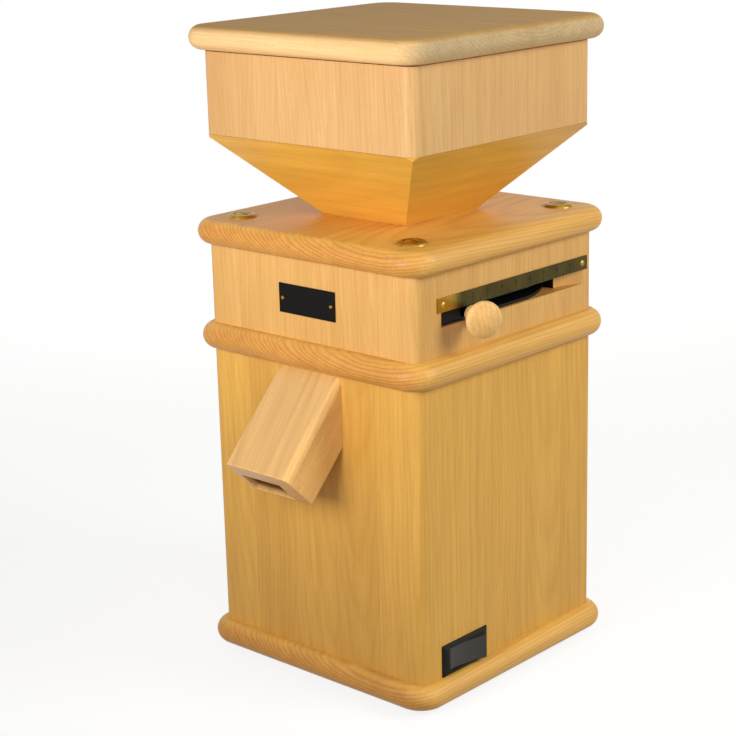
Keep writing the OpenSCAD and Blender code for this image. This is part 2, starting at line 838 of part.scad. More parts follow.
// The black guide deep in the slot, round at its back end, with a lip that lines the window's end out to where the
// cutter's run-out starts. The lever's rod slides along its slit.
module slot_guide() {
    face_x = case_half - guide_drop;
    lip_x = case_half - slot_runout_depth;
    back_end = window_back_y - guide_lip_t;
    slit_h = lever_d + 2 * slit_play;
    slit_front_y = axis_y - (case_half + past) * tan(lever_fine_angle) - lever_d;
    slit_back_y = back_end - slit_end;
    color("#151515") placed()
        difference() {
            translate([0, 0, slot_z - slot_h / 2]) linear_extrude(slot_h) difference() {
                union() {
                    intersection() {
                        translate([window_inner_x, window_front_y])
                            square([face_x - window_inner_x, window_back_y - window_front_y]);
                        union() {
                            translate([0, window_front_y]) square([case_half, axis_y - window_front_y]);
                            translate([0, axis_y]) circle(case_half - guide_arc_inset, $fn = 128);
                        }
                    }
                    translate([window_inner_x, back_end]) square([lip_x - window_inner_x, guide_lip_t]);
                }
                translate([0, axis_y]) circle(d = hollow_d, $fn = 128);
            }
            translate([0, slit_front_y, slot_z - slit_h / 2])
                cube([case_w, slit_back_y - slit_front_y, slit_h]);
        }
}

// ---- Plates ----

plate_screw_d = 2.5;
plate_screw_head_d = 6;
plate_screw_l = 12;
pin_d = 2;
plate_screw_dome_r = 3.6;
plate_screw_rise = 1.2;
plate_cut = 3;
pin_head_d = 3.4;
pin_head_h = 0.9;
pin_head_taper = 1;
pin_l = 9;
pin_inset = 4;
nameplate_z = upper_case_z + nameplate_above_middle;

module at_scale_screws() {
    for (side = [-1, 1])
        translate([case_half + scale_t, axis_y + side * (scale_l / 2 - scale_screw_inset),
                   scale_z + scale_h / 2])
            rotate([0, 90, 0]) children();
}

module at_nameplate_pins() {
    for (side = [-1, 1])
        translate([side * (nameplate_w / 2 - pin_inset), -case_half - nameplate_t, nameplate_z])
            rotate([90, 0, 0]) children();
}

module plate_screw_holes() {
    at_scale_screws() translate([0, 0, -plate_screw_l - past])
        cylinder(h = plate_screw_l + past, d = plate_screw_d + 2 * bore_gap);
    at_nameplate_pins() translate([0, 0, -pin_l - past]) cylinder(h = pin_l + past, d = pin_d + 2 * bore_gap);
}

module scale_plate() {
    color("#b08d3c") placed()
        difference() {
            translate([case_half, axis_y - scale_l / 2, scale_z]) cube([scale_t, scale_l, scale_h]);
            at_scale_screws() translate([0, 0, -plate_cut])
                cylinder(h = 2 * plate_cut, d = plate_screw_d + 2 * bore_gap);
        }
}

module scale_screws() {
    color("#d8b868") placed()
        at_scale_screws() {
            translate([0, 0, -plate_screw_l]) cylinder(h = plate_screw_l, d = plate_screw_d);
            intersection() {
                translate([0, 0, plate_screw_rise - plate_screw_dome_r]) sphere(r = plate_screw_dome_r);
                cylinder(h = plate_screw_dome_r, d = plate_screw_head_d);
            }
        }
}

module nameplate() {
    color("#1a1a1a") placed()
        difference() {
            translate([-nameplate_w / 2, -case_half - nameplate_t, nameplate_z - nameplate_h / 2])
                cube([nameplate_w, nameplate_t, nameplate_h]);
            at_nameplate_pins() translate([0, 0, -plate_cut])
                cylinder(h = 2 * plate_cut, d = pin_d + 2 * bore_gap);
        }
}

module nameplate_pins() {
    color("#d9c9a0") placed()
        at_nameplate_pins() {
            translate([0, 0, -pin_l]) cylinder(h = pin_l, d = pin_d);
            cylinder(h = pin_head_h, d1 = pin_head_d, d2 = pin_head_d - pin_head_taper);
        }
}

// ---- Grinding chamber ----

seal_d = 30;
seal_t = 12;
chamber_screw_d = 4;
chamber_screw_head_d = 7;
chamber_screw_l = 22;
chamber_screw_reach = 33;
ledge_t = 5;
chamber_screw_slot = 0.8;
wall_gap = 1.4;
outlet_w = 40;
outlet_l = 23;
outlet_step = 1;

module chamber_screw_places() {
    round_axis(4, chamber_screw_reach, 45) children();
}

// The cast wall of the pan that the lower stone turns in, with the ledge that the setting ring turns on
module chamber() {
    wall_top_z = carrier_z + carrier_t - skirt_drop - wall_gap;
    ledge_z = ring_z - ledge_t;
    color("#b5b8bb") placed()
        translate([0, axis_y, 0]) difference() {
            union() {
                translate([0, 0, chamber_floor_z])
                    cylinder(h = wall_top_z - chamber_floor_z, r = chamber_r, $fn = 128);
                translate([0, 0, ledge_z]) cylinder(h = ledge_t, r = ring_r, $fn = 128);
            }
            translate([0, 0, chamber_floor_z - past])
                cylinder(h = wall_top_z - chamber_floor_z + 2 * past, r = chamber_in_r, $fn = 128);
        }
}

// The pan's floor. The flour leaves through the gap at its front.
module chamber_floor() {
    color("#aeb1b4") placed()
        difference() {
            translate([0, axis_y, upper_case_z]) cylinder(h = chamber_floor_t, r = chamber_r, $fn = 128);
            translate([0, axis_y, upper_case_z - past])
                cylinder(h = chamber_floor_t + 2 * past, d = seal_d + 2 * bore_gap);
            translate([-outlet_w / 2, axis_y - chamber_in_r + outlet_step, upper_case_z - past])
                cube([outlet_w, outlet_l, chamber_floor_t + 2 * past]);
            chamber_screw_places() translate([0, 0, chamber_floor_z])
                countersunk_hole(chamber_screw_d, chamber_screw_head_d, chamber_floor_t, bore_gap);
        }
}

module chamber_screws() {
    color("silver") placed()
        chamber_screw_places() translate([0, 0, chamber_floor_z])
            countersunk_screw(chamber_screw_d, chamber_screw_head_d, chamber_screw_l, chamber_screw_slot);
}

// The felt ring that keeps flour off the motor
module shaft_seal() {
    color("#d8d3c4") placed()
        translate([0, axis_y, chamber_floor_z - seal_t]) difference() {
            cylinder(h = seal_t, d = seal_d);
            translate([0, 0, -past]) cylinder(h = seal_t + 2 * past, d = shaft_d + 2 * bore_gap);
        }
}

paddle_count = 3;
paddle_t = 4;
paddle_start = 20;
paddle_gap = 1.5;      // from a paddle's end to the pan's wall
paddle_floor_gap = 0.6;
holder_rim_h = 6;
holder_rim_t = 3;
holder_boss_r = 14;
holder_boss_gap = 1;

// The plate that drives the lower stone, with paddles that sweep the flour to the outlet
module stone_holder() {
    color("#a9adb1") placed()
        translate([0, axis_y, holder_z]) difference() {
            union() {
                cylinder(h = holder_t + holder_rim_h, r = stone_d / 2 + holder_rim_t);
                translate([0, 0, -holder_gap + holder_boss_gap]) cylinder(h = holder_gap, r = holder_boss_r);
                for (i = [0 : paddle_count - 1])
                    rotate([0, 0, (i + 0.25) * 360 / paddle_count])
                        translate([paddle_start, -paddle_t / 2, -holder_gap + paddle_floor_gap])
                            cube([chamber_in_r - paddle_gap - paddle_start, paddle_t, holder_gap + holder_t]);
            }
            translate([0, 0, holder_t]) cylinder(h = holder_rim_h + past, r = stone_d / 2 + bore_gap);
            translate([0, 0, -holder_gap - past])
                cylinder(h = holder_gap + holder_t + 2 * past, d = shaft_d + 2 * bore_gap);
        }
}

module lower_stone() {
    color("#cfc8bd") placed()
        translate([0, axis_y, lower_stone_z]) difference() {
            cylinder(h = lower_stone_t, d = stone_d);
            translate([0, 0, -past]) cylinder(h = lower_stone_t + 2 * past, d = shaft_d + 2 * bore_gap);
            translate([0, 0, lower_stone_t - stone_cup_h]) cylinder(h = stone_cup_h + past, d = stone_cup_d);
        }
}

module stone_nut() {
    color("#c0c4c8") placed()
        translate([0, axis_y, lower_stone_z + lower_stone_t - stone_cup_h]) difference() {
            cylinder(h = nut_h, d = nut_d, $fn = 6);
            translate([0, 0, -past]) cylinder(h = nut_h + 2 * past, d = shaft_d + 2 * bore_gap);
        }
}

module upper_stone() {
    color("#d6cfc4") placed()
        translate([0, axis_y, upper_stone_z]) difference() {
            cylinder(h = upper_stone_t, d = stone_d);
            translate([0, 0, -past]) cylinder(h = upper_stone_t + 2 * past, d = eye_d);
            carrier_screw_turns() translate([0, 0, upper_stone_t - carrier_screw_hole])
                cylinder(h = carrier_screw_hole + past, d = carrier_screw_d + 2 * bore_gap);
        }
}

carrier_screw_d = 4;
carrier_screw_head_d = 8;
carrier_screw_grip = 9;
carrier_screw_hole = 10;
carrier_screw_slot = 0.8;
carrier_screw_inset = 16;
guide_pin_d = 6;
guide_pin_reach = (stone_d / 2 + chamber_in_r) / 2;
guide_pin_sink = 10;
guide_pin_tail = 2;

module guide_pin_turns() {
    for (turn = [90 : 120 : 330]) rotate([0, 0, turn]) translate([guide_pin_reach, 0, 0]) children();
}

module carrier_screw_turns() {
    for (turn = [30 : 120 : 270]) rotate([0, 0, turn]) translate([stone_d / 2 - carrier_screw_inset, 0, 0])
        children();
}

// The plate that hangs the upper stone in the setting ring
module stone_carrier() {
    color("#a4a8ad") placed()
        translate([0, axis_y, carrier_z]) difference() {
            cylinder(h = carrier_t, r = chamber_r, $fn = 128);
            translate([0, 0, -past]) cylinder(h = carrier_t + 2 * past, d = eye_d);
            guide_pin_turns() translate([0, 0, -past])
                cylinder(h = carrier_t + 2 * past, d = guide_pin_d + 4 * bore_gap);
            carrier_screw_turns() translate([0, 0, carrier_t])
                countersunk_hole(carrier_screw_d, carrier_screw_head_d, carrier_t, bore_gap);
        }
}

// The plate's skirt, which carries the thread that the setting ring turns on
module carrier_skirt() {
    skirt_h = skirt_drop - carrier_t;
    color("#9ca0a5") placed()
        translate([0, axis_y, carrier_z - skirt_h]) difference() {
            cylinder(h = skirt_h, r = chamber_r, $fn = 128);
            translate([0, 0, -past]) cylinder(h = skirt_h + 2 * past, r = chamber_in_r, $fn = 128);
        }
}

module carrier_screws() {
    color("silver") placed()
        translate([0, axis_y, carrier_z + carrier_t]) carrier_screw_turns()
            countersunk_screw(carrier_screw_d, carrier_screw_head_d, carrier_t + carrier_screw_grip,
                              carrier_screw_slot);
}

// Three pins in the top board that keep the carrier from turning
module guide_pins() {
    color("#c8ccd0") placed()
        translate([0, axis_y, carrier_z - guide_pin_tail]) guide_pin_turns()
            cylinder(h = top_z + guide_pin_sink - carrier_z + guide_pin_tail, d = guide_pin_d);
}

// The threaded ring that the lever turns, to lift and lower the upper stone
module setting_ring() {
    color("#1d1d1d") placed()
        difference() {
            translate([0, axis_y, ring_z]) cylinder(h = ring_top_z - ring_z, r = ring_r, $fn = 128);
            translate([0, axis_y, ring_z - past])
                cylinder(h = ring_top_z - ring_z + 2 * past, r = chamber_r + running_gap, $fn = 128);
            lever_place(chamber_r) cylinder(h = ring_wall * 2, d = lever_d + 2 * bore_gap);
        }
}

// Places its children on the lever's line, at a distance from the stones' axis, with Z outward
module lever_place(reach) {
    translate([0, axis_y, slot_z]) rotate([0, 0, -lever_fine_angle]) translate([reach, 0, 0])
        rotate([0, 90, 0]) children();
}

knob_bore_l = 18;
rod_end_gap = 1;

module lever_rod() {
    start = chamber_r + running_gap + rod_end_gap;
    color("#202020") placed()
        lever_place(start) cylinder(h = knob_reach + knob_bore_l - rod_end_gap - start, d = lever_d);
}

// The turned knob: a slim neck, a round rim and a domed front
module knob() {
    core_r = knob_rim_r - knob_rim_edge;
    color("#ecc58c") placed()
        lever_place(knob_reach) difference() {
            rotate_extrude() {
                difference() {
                    square([core_r, knob_rim_z]);
                    translate([knob_neck_d / 2 + knob_rim_z, 0]) circle(knob_rim_z);
                }
                translate([0, knob_rim_z - knob_rim_edge]) square([core_r, 2 * knob_rim_edge]);
                translate([core_r, knob_rim_z]) circle(knob_rim_edge);
                intersection() {
                    translate([0, knob_l - knob_dome_r]) circle(knob_dome_r);
                    translate([0, knob_rim_z]) square([core_r, knob_l]);
                }
            }
            translate([0, 0, -past]) cylinder(h = knob_bore_l + past, d = lever_d + 2 * bore_gap);
        }
}

// ---- Top ----

feed_flange_reach = 7;
feed_flange_d = feed_tube_d + 2 * feed_flange_reach;
feed_flange_t = 3;
feed_drop = 13;
top_screw_slot = 1.4;

// The top board. Where the stones and their carrier stand taller than the upper case, it is hollowed for them.
module top_board() {
    color("#dba663") placed()
        difference() {
            translate([0, 0, top_z]) round_board(board_w, top_t, board_corner_r);
            translate([0, axis_y, top_z - past])
                cylinder(h = top_t + 2 * past, d = feed_tube_d + 2 * bore_gap);
            translate([0, axis_y, funnel_z - feed_flange_t])
                cylinder(h = feed_flange_t + past, d = feed_flange_d + 2 * bore_gap);
            translate([0, axis_y, top_z - past]) guide_pin_turns()
                cylinder(h = guide_pin_sink + past, d = guide_pin_d + 2 * bore_gap);
            if (carrier_recess > 0)
                translate([0, axis_y, top_z - past])
                    cylinder(h = carrier_recess + past, r = chamber_r + running_gap, $fn = 128);
            top_screw_holes();
        }
}

// The tube that leads the grain into the upper stone's eye
module feed_tube() {
    tube_l = top_z - carrier_z - carrier_t + feed_drop;
    color("#efe6d2") placed()
        translate([0, axis_y, 0]) difference() {
            union() {
                translate([0, 0, top_z - tube_l]) cylinder(h = tube_l + top_t, d = feed_tube_d);
                translate([0, 0, funnel_z - feed_flange_t]) cylinder(h = feed_flange_t, d = feed_flange_d);
            }
            translate([0, 0, top_z - tube_l - past])
                cylinder(h = tube_l + top_t + 2 * past, d = feed_tube_d - 2 * feed_tube_wall);
        }
}

cup_ridge_out = 1.6;  // how far the washers' round ridge lies outside the screws' heads

// Washers with a round ridge, whose inner slope holds the screw's head
module cup_washers() {
    ridge_place = top_screw_head_d / 2 + cup_ridge_out;
    ridge_half = cup_d / 2 - ridge_place;
    ridge_r = (pow(ridge_half, 2) + pow(cup_h, 2)) / (2 * cup_h);
    color("#d2aa4c") placed()
        difference() {
            at_corners(case_half - top_screw_inset) translate([0, 0, funnel_z]) rotate_extrude($fn = 96)
                intersection() {
                    translate([ridge_place, cup_h - ridge_r]) circle(ridge_r, $fn = 96);
                    square([cup_d / 2, cup_h]);
                }
            top_screw_holes();
        }
}

module top_screws() {
    dome_r = (pow(top_screw_head_d / 2, 2) + pow(top_screw_dome, 2)) / (2 * top_screw_dome);
    color("#e0bd6a") placed()
        at_top_screws() {
            countersunk_screw(top_screw_d, top_screw_head_d, top_screw_l, top_screw_slot);
            difference() {
                intersection() {
                    translate([0, 0, top_screw_dome - dome_r]) sphere(r = dome_r, $fn = 96);
                    cylinder(h = top_screw_dome, d = top_screw_head_d);
                }
                translate([-top_screw_head_d, -top_screw_slot / 2, -past])
                    cube([2 * top_screw_head_d, top_screw_slot, top_screw_dome + 2 * past]);
            }
        }
}

// The funnel's sloping boards, mitred, with corners that run into the hopper box's round ones
module funnel() {
    color("#dd9f4e") placed()
        translate([0, 0, funnel_z]) difference() {
            intersection() {
                frustum(funnel_h, [funnel_foot_w, funnel_foot_w], [hopper_w, hopper_w]);
                linear_extrude(funnel_h) round_square(hopper_w + 2 * bore_gap, hopper_corner_r + bore_gap);
            }
            funnel_bore();
        }
}

module funnel_bore() {
    foot_in_w = funnel_foot_w - 2 * funnel_wall;
    slope = (hopper_in_w - foot_in_w) / funnel_h;
    low_w = foot_in_w - slope * past;
    high_w = hopper_in_w + slope * past;
    translate([0, 0, -past]) frustum(funnel_h + 2 * past, [low_w, low_w], [high_w, high_w]);
}

// The square box, stepped in round its top for the shadow gap under the lid
module hopper_box() {
    hopper_neck_r = max(hopper_corner_r - shadow_gap_depth, 1);
    color("#e4b778") placed()
        difference() {
            union() {
                translate([0, 0, hopper_z])
                    linear_extrude(hopper_h - shadow_gap_h) round_square(hopper_w, hopper_corner_r);
                translate([0, 0, hopper_z])
                    linear_extrude(hopper_h) round_square(hopper_w - 2 * shadow_gap_depth, hopper_neck_r);
            }
            translate([0, 0, hopper_z - past])
                linear_extrude(hopper_h + 2 * past) square(hopper_in_w, center = true);
        }
}

module lid() {
    color("#e2b272") placed()
        translate([0, 0, lid_z]) round_board(lid_w, lid_t, board_corner_r);
}

locator_corner_r = 3;

module lid_locator() {
    color("#d9a862") placed()
        translate([0, 0, lid_z - locator_t]) linear_extrude(locator_t)
            round_square(hopper_in_w - 2 * locator_gap, locator_corner_r);
}

feet();
feet_screws();
base_board();
base_screws();
lower_case();
cord_gland();
middle_board();
spout();
switch_frame();
rocker();
switch_body();
motor_top_shield();
motor_screws();
motor_housing();
motor_bottom_shield();
stator();
bearings();
shaft();
rotor();
fan();
capacitor();
capacitor_clip();
upper_case();
nameplate();
nameplate_pins();
scale_plate();
scale_screws();
slot_guide();
chamber();
chamber_floor();
chamber_screws();
shaft_seal();
stone_holder();
lower_stone();
stone_nut();
upper_stone();
stone_carrier();
carrier_skirt();
carrier_screws();
guide_pins();
setting_ring();
lever_rod();
knob();
top_board();
feed_tube();
cup_washers();
top_screws();
funnel();
hopper_box();
lid();
lid_locator();
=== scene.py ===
# %% [markdown]
# # A table-top grain mill in oiled beech
#
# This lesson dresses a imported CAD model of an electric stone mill. The model gives every piece its size, its place
# and the body that it moves with. Blender adds what CAD leaves out: wood that was sawn from real logs, eased edges,
# turned brass, engraved marks, and the light of a small studio. The frame comes first, because everything is set on
# it. The middle of the lower case, on the table, is the point that the rest of the lesson measures from.

# %% Load the frame
import json
import math
import random

import bmesh
import bpy
from mathutils import Matrix, Vector

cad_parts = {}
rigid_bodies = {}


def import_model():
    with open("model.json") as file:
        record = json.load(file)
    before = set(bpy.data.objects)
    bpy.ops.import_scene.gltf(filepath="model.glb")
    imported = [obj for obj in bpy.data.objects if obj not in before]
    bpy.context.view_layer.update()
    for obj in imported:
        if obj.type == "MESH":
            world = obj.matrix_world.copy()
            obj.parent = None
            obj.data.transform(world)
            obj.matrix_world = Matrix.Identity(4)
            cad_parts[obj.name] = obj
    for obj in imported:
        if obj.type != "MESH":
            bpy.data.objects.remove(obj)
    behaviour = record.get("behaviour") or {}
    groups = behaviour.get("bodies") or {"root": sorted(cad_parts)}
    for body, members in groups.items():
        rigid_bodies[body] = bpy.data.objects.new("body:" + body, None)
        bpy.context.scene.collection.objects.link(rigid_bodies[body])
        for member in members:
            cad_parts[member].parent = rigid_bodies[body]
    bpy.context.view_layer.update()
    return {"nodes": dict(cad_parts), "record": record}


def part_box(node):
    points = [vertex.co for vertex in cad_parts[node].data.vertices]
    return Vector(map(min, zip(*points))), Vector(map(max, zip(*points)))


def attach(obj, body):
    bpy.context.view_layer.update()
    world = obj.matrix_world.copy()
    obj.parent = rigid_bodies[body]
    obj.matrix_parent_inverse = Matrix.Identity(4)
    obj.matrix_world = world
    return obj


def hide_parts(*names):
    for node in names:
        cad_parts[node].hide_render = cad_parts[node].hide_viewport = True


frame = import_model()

MM = 0.001
X, Y, Z = Vector((1, 0, 0)), Vector((0, 1, 0)), Vector((0, 0, 1))
BODY_OF = {
    node: body for body, nodes in frame["record"]["behaviour"]["bodies"].items() for node in nodes
}
SLOT_OF = {part["node"]: part["material_slot"] for part in frame["record"]["subparts"]}
CASE_LOW, CASE_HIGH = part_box("lower_case")
CASE = Vector(((CASE_LOW.x + CASE_HIGH.x) / 2, (CASE_LOW.y + CASE_HIGH.y) / 2, 0))
CASE_HALF = (CASE_HIGH.x - CASE_LOW.x) / 2

# %% [markdown]
# ## Nodes in few words
#
# A procedural material is a small machine of nodes. Wired by hand in a script, it takes pages. Two helper classes,
# one for arithmetic and one for patterns, turn each kind of node into one short call that returns a socket, so that
# the recipe of a finish can be read like a sum.

# %% Colours as a painter reads them
def srgb(red, green, blue):
    """A colour as a painter would read it off a screen, turned into the linear values that Cycles mixes."""
    def linear(value):
        value /= 255
        return value / 12.92 if value <= 0.04045 else ((value + 0.055) / 1.055) ** 2.4
    return (linear(red), linear(green), linear(blue), 1.0)


print("half of white on a screen is", round(srgb(128, 128, 128)[0], 2), "in linear light")

# %% A short hand for shader nodes
class Recipe:
    """A material whose nodes are added by short calls. Each call returns the socket that it made."""

    def __init__(self, name, **constants):
        self.material = bpy.data.materials.new(name)
        self.material.use_nodes = True
        self.tree = self.material.node_tree
        self.tree.nodes.clear()
        self.surface = self.tree.nodes.new("ShaderNodeBsdfPrincipled")
        output = self.tree.nodes.new("ShaderNodeOutputMaterial")
        self.tree.links.new(self.surface.outputs[0], output.inputs[0])
        for socket, value in constants.items():
            self.set(socket.replace("_", " "), value)

    def put(self, socket, value):
        if isinstance(value, bpy.types.NodeSocket):
            self.tree.links.new(value, socket)
        else:
            socket.default_value = value

    def set(self, socket, value):
        names = {name.lower(): name for name in self.surface.inputs.keys()}
        self.put(self.surface.inputs[names[socket.lower()]], value)

    def add(self, kind, inputs=(), **settings):
        node = self.tree.nodes.new("ShaderNode" + kind)
        for name, value in settings.items():
            setattr(node, name, value)
        for key, value in dict(inputs).items():
            self.put(node.inputs[key], value)
        return node

    def math(self, operation, *values):
        return self.add("Math", enumerate(values), operation=operation).outputs[0]

    def vector(self, operation, first, second):
        return self.add("VectorMath", enumerate((first, second)), operation=operation).outputs[0]

    def split(self, vector):
        return self.add("SeparateXYZ", [(0, vector)]).outputs

    def join(self, *values):
        return self.add("CombineXYZ", enumerate(values)).outputs[0]


print("recipes can do arithmetic")

# %% Patterns, mixes and bumps
class Finish(Recipe):
    """A recipe with the patterns and mixes that the mill's finishes are made of."""

    def noise(self, vector, scale, detail=2.0, roughness=0.5):
        inputs = {"Vector": vector, "Scale": scale, "Detail": detail, "Roughness": roughness}
        return self.add("TexNoise", inputs).outputs[0]

    def cells(self, vector, scale):
        return self.add("TexVoronoi", {"Vector": vector, "Scale": scale}).outputs["Distance"]

    def ramp(self, value, *stops, smooth=False):
        """Stops are (place, grey) or (place, colour)."""
        node = self.add("ValToRGB", [(0, value)])
        node.color_ramp.interpolation = "EASE" if smooth else "LINEAR"
        points = node.color_ramp.elements
        while len(points) < len(stops):
            points.new(0.5)
        for point, (place, colour) in zip(points, stops):
            point.position = place
        for point, (place, colour) in zip(points, stops):
            point.color = (*colour[:3], 1.0) if isinstance(colour, tuple) else (colour, colour, colour, 1.0)
        return node.outputs[0]

    def mix(self, amount, first, second, way="MIX"):
        node = self.add("Mix", data_type="RGBA", blend_type=way)
        for socket, value in zip((node.inputs[0], node.inputs[6], node.inputs[7]), (amount, first, second)):
            self.put(socket, value)
        return node.outputs[2]

    def shade(self, colour, value, low, high, dark, light):
        """The colour, multiplied by dark where the value is low and by light where it is high."""
        return self.mix(1.0, colour, self.ramp(value, (low, dark), (high, light)), "MULTIPLY")

    def bump(self, height, strength, distance):
        inputs = {"Height": height, "Strength": strength, "Distance": distance}
        self.set("Normal", self.add("Bump", inputs).outputs[0])


print("recipes can draw patterns")

# %% [markdown]
# ## Beech, sawn from a log
#
# The whole mill is beech: pale, fine and even, with faint growth rings and thousands of short dark flecks, the tree's
# rays. A flat wood picture can't turn a corner: the lines on a board's face have to run over its edge and show as rings
# at its end. So the wood here is solid. Every corner of every face stores its place in its own board's log, across it,
# into it and along it, and the material works out the distance from the pith. Wide panels are glued from staves, each
# with its own pith, tone and slant. A pith far off to one side gives the slanting stripes at a thick board's end.

# %% Growth rings
RING, RING_SPREAD = 2.9 * MM, 2.2
SWAY, WAVER, ALONG_WAVER = 30 * MM, 2.2 * MM, (1.0, 1.0, 0.12)
LEAN_ACROSS, LEAN_INTO = 0.06, 0.11
# How many patches of each noise lie in a metre
SWAYS, WAVERS, RICH_YEARS = 5.0, 55.0, 90.0


def growth_rings(wood, place, stave, side, depth):
    """The rings' late wood as a number from 0 to 1, the place within the stave, and a number picked for that stave.

    The pith lies a random part of side beside the stave and of depth under it. It wanders and leans a little.
    """
    across, deep_in, along = wood.split(place)
    column = wood.math("FLOOR", wood.math("DIVIDE", across, stave))
    within = wood.math("SUBTRACT", across, wood.math("MULTIPLY", column, stave))
    pick = wood.add("TexWhiteNoise", {"W": column}, noise_dimensions="1D").outputs["Color"]
    pick_a, pick_b, pick_c = wood.split(pick)

    sway = wood.noise(wood.join(column, 0.0, along), SWAYS, 1.0)
    lean = wood.math("MULTIPLY", along, wood.math("SUBTRACT", pick_c, 0.5))
    beside = wood.math("MULTIPLY_ADD", pick_a, side[0] - side[1], -side[0] - stave / 2)
    beside = wood.math("ADD", wood.math("MULTIPLY_ADD", sway, SWAY, -SWAY / 2), wood.math("ADD", beside, within))
    beside = wood.math("MULTIPLY_ADD", lean, LEAN_ACROSS, beside)
    below = wood.math("ADD", wood.math("MULTIPLY_ADD", pick_b, depth[1] - depth[0], depth[0]), deep_in)
    below = wood.math("MULTIPLY_ADD", lean, LEAN_INTO, below)

    reach = wood.math("SQRT", wood.math("MULTIPLY_ADD", beside, beside, wood.math("MULTIPLY", below, below)))
    waver = wood.noise(wood.vector("MULTIPLY", place, ALONG_WAVER), WAVERS, 2.0)
    reach = wood.math("MULTIPLY_ADD", waver, WAVER, reach)
    years = wood.noise(wood.join(reach, 0.0, 0.0), RICH_YEARS, 1.0)
    ring = wood.math("FRACT", wood.math("MULTIPLY_ADD", years, RING_SPREAD, wood.math("DIVIDE", reach, RING)))
    late = wood.ramp(ring, (0.0, 0.3), (0.15, 0.0), (0.5, 0.15), (0.86, 1.0), (1.0, 0.3))
    return late, within, pick_b


print("growth rings every", RING / MM, "mm or so")

# %% Fibres and rays
ALONG_FIBRE, ALONG_STREAK, ALONG_CLOUD = (1.0, 1.0, 0.035), (1.0, 1.0, 0.04), (1.0, 1.0, 0.3)
ALONG_RAY, ALONG_RAY_PATCH = (1.0, 1.0, 0.2), (1.0, 1.0, 0.12)
# Again in patches to the metre
FIBRES, STREAKS, CLOUDS, RAYS, RAY_PATCHES, PORES = 620.0, 120.0, 16.0, 560.0, 75.0, 1500.0


def fine_grain(wood, place):
    """Fibres, soft streaks, slow changes of tone and the short dark flecks of the rays, all drawn out along the log."""
    fibre = wood.noise(wood.vector("MULTIPLY", place, ALONG_FIBRE), FIBRES, 2.0, 0.6)
    streak = wood.noise(wood.vector("MULTIPLY", place, ALONG_STREAK), STREAKS, 2.0, 0.5)
    cloud = wood.noise(wood.vector("MULTIPLY", place, ALONG_CLOUD), CLOUDS, 3.0, 0.6)
    ray = wood.ramp(wood.cells(wood.vector("MULTIPLY", place, ALONG_RAY), RAYS), (0.1, 1.0), (0.26, 0.0))
    where = wood.noise(wood.vector("MULTIPLY", place, ALONG_RAY_PATCH), RAY_PATCHES, 1.0)
    ray = wood.math("MULTIPLY", ray, wood.ramp(where, (0.35, 0.3), (0.65, 1.0)))
    return fibre, streak, cloud, ray


def end_grain(wood, colour, place, grain, facing, late, end_rings, end_tone):
    """End grain drinks more oil, so it is darker and its rings stand out."""
    turn = wood.add("VectorMath", enumerate((facing, grain)), operation="DOT_PRODUCT").outputs["Value"]
    end = wood.ramp(wood.math("ABSOLUTE", turn), (0.4, 0.0), (0.9, 1.0))
    pores = wood.noise(place, PORES, 1.0)
    dark = wood.mix(1.0, colour, (*end_tone, 1.0), "MULTIPLY")
    stripe = wood.mix(1.0, dark, (0.76, 0.56, 0.4, 1.0), "MULTIPLY")
    dark = wood.mix(wood.math("MULTIPLY", late, end_rings), dark, stripe)
    dark = wood.shade(dark, pores, 0.35, 0.6, (0.9, 0.84, 0.76), (1.0, 1.0, 1.0))
    return wood.mix(end, colour, dark)


print("grain helpers ready")

# %% Beech
RAY_BROWN, GLUE_BROWN = srgb(158, 98, 48), srgb(150, 92, 45)
# Painted shade for the inside of the spout's channel
PAINTED_CHANNEL_SHADE = (0.2, 0.14, 0.08, 1.0)
GLUE_LINE = 0.5 * MM


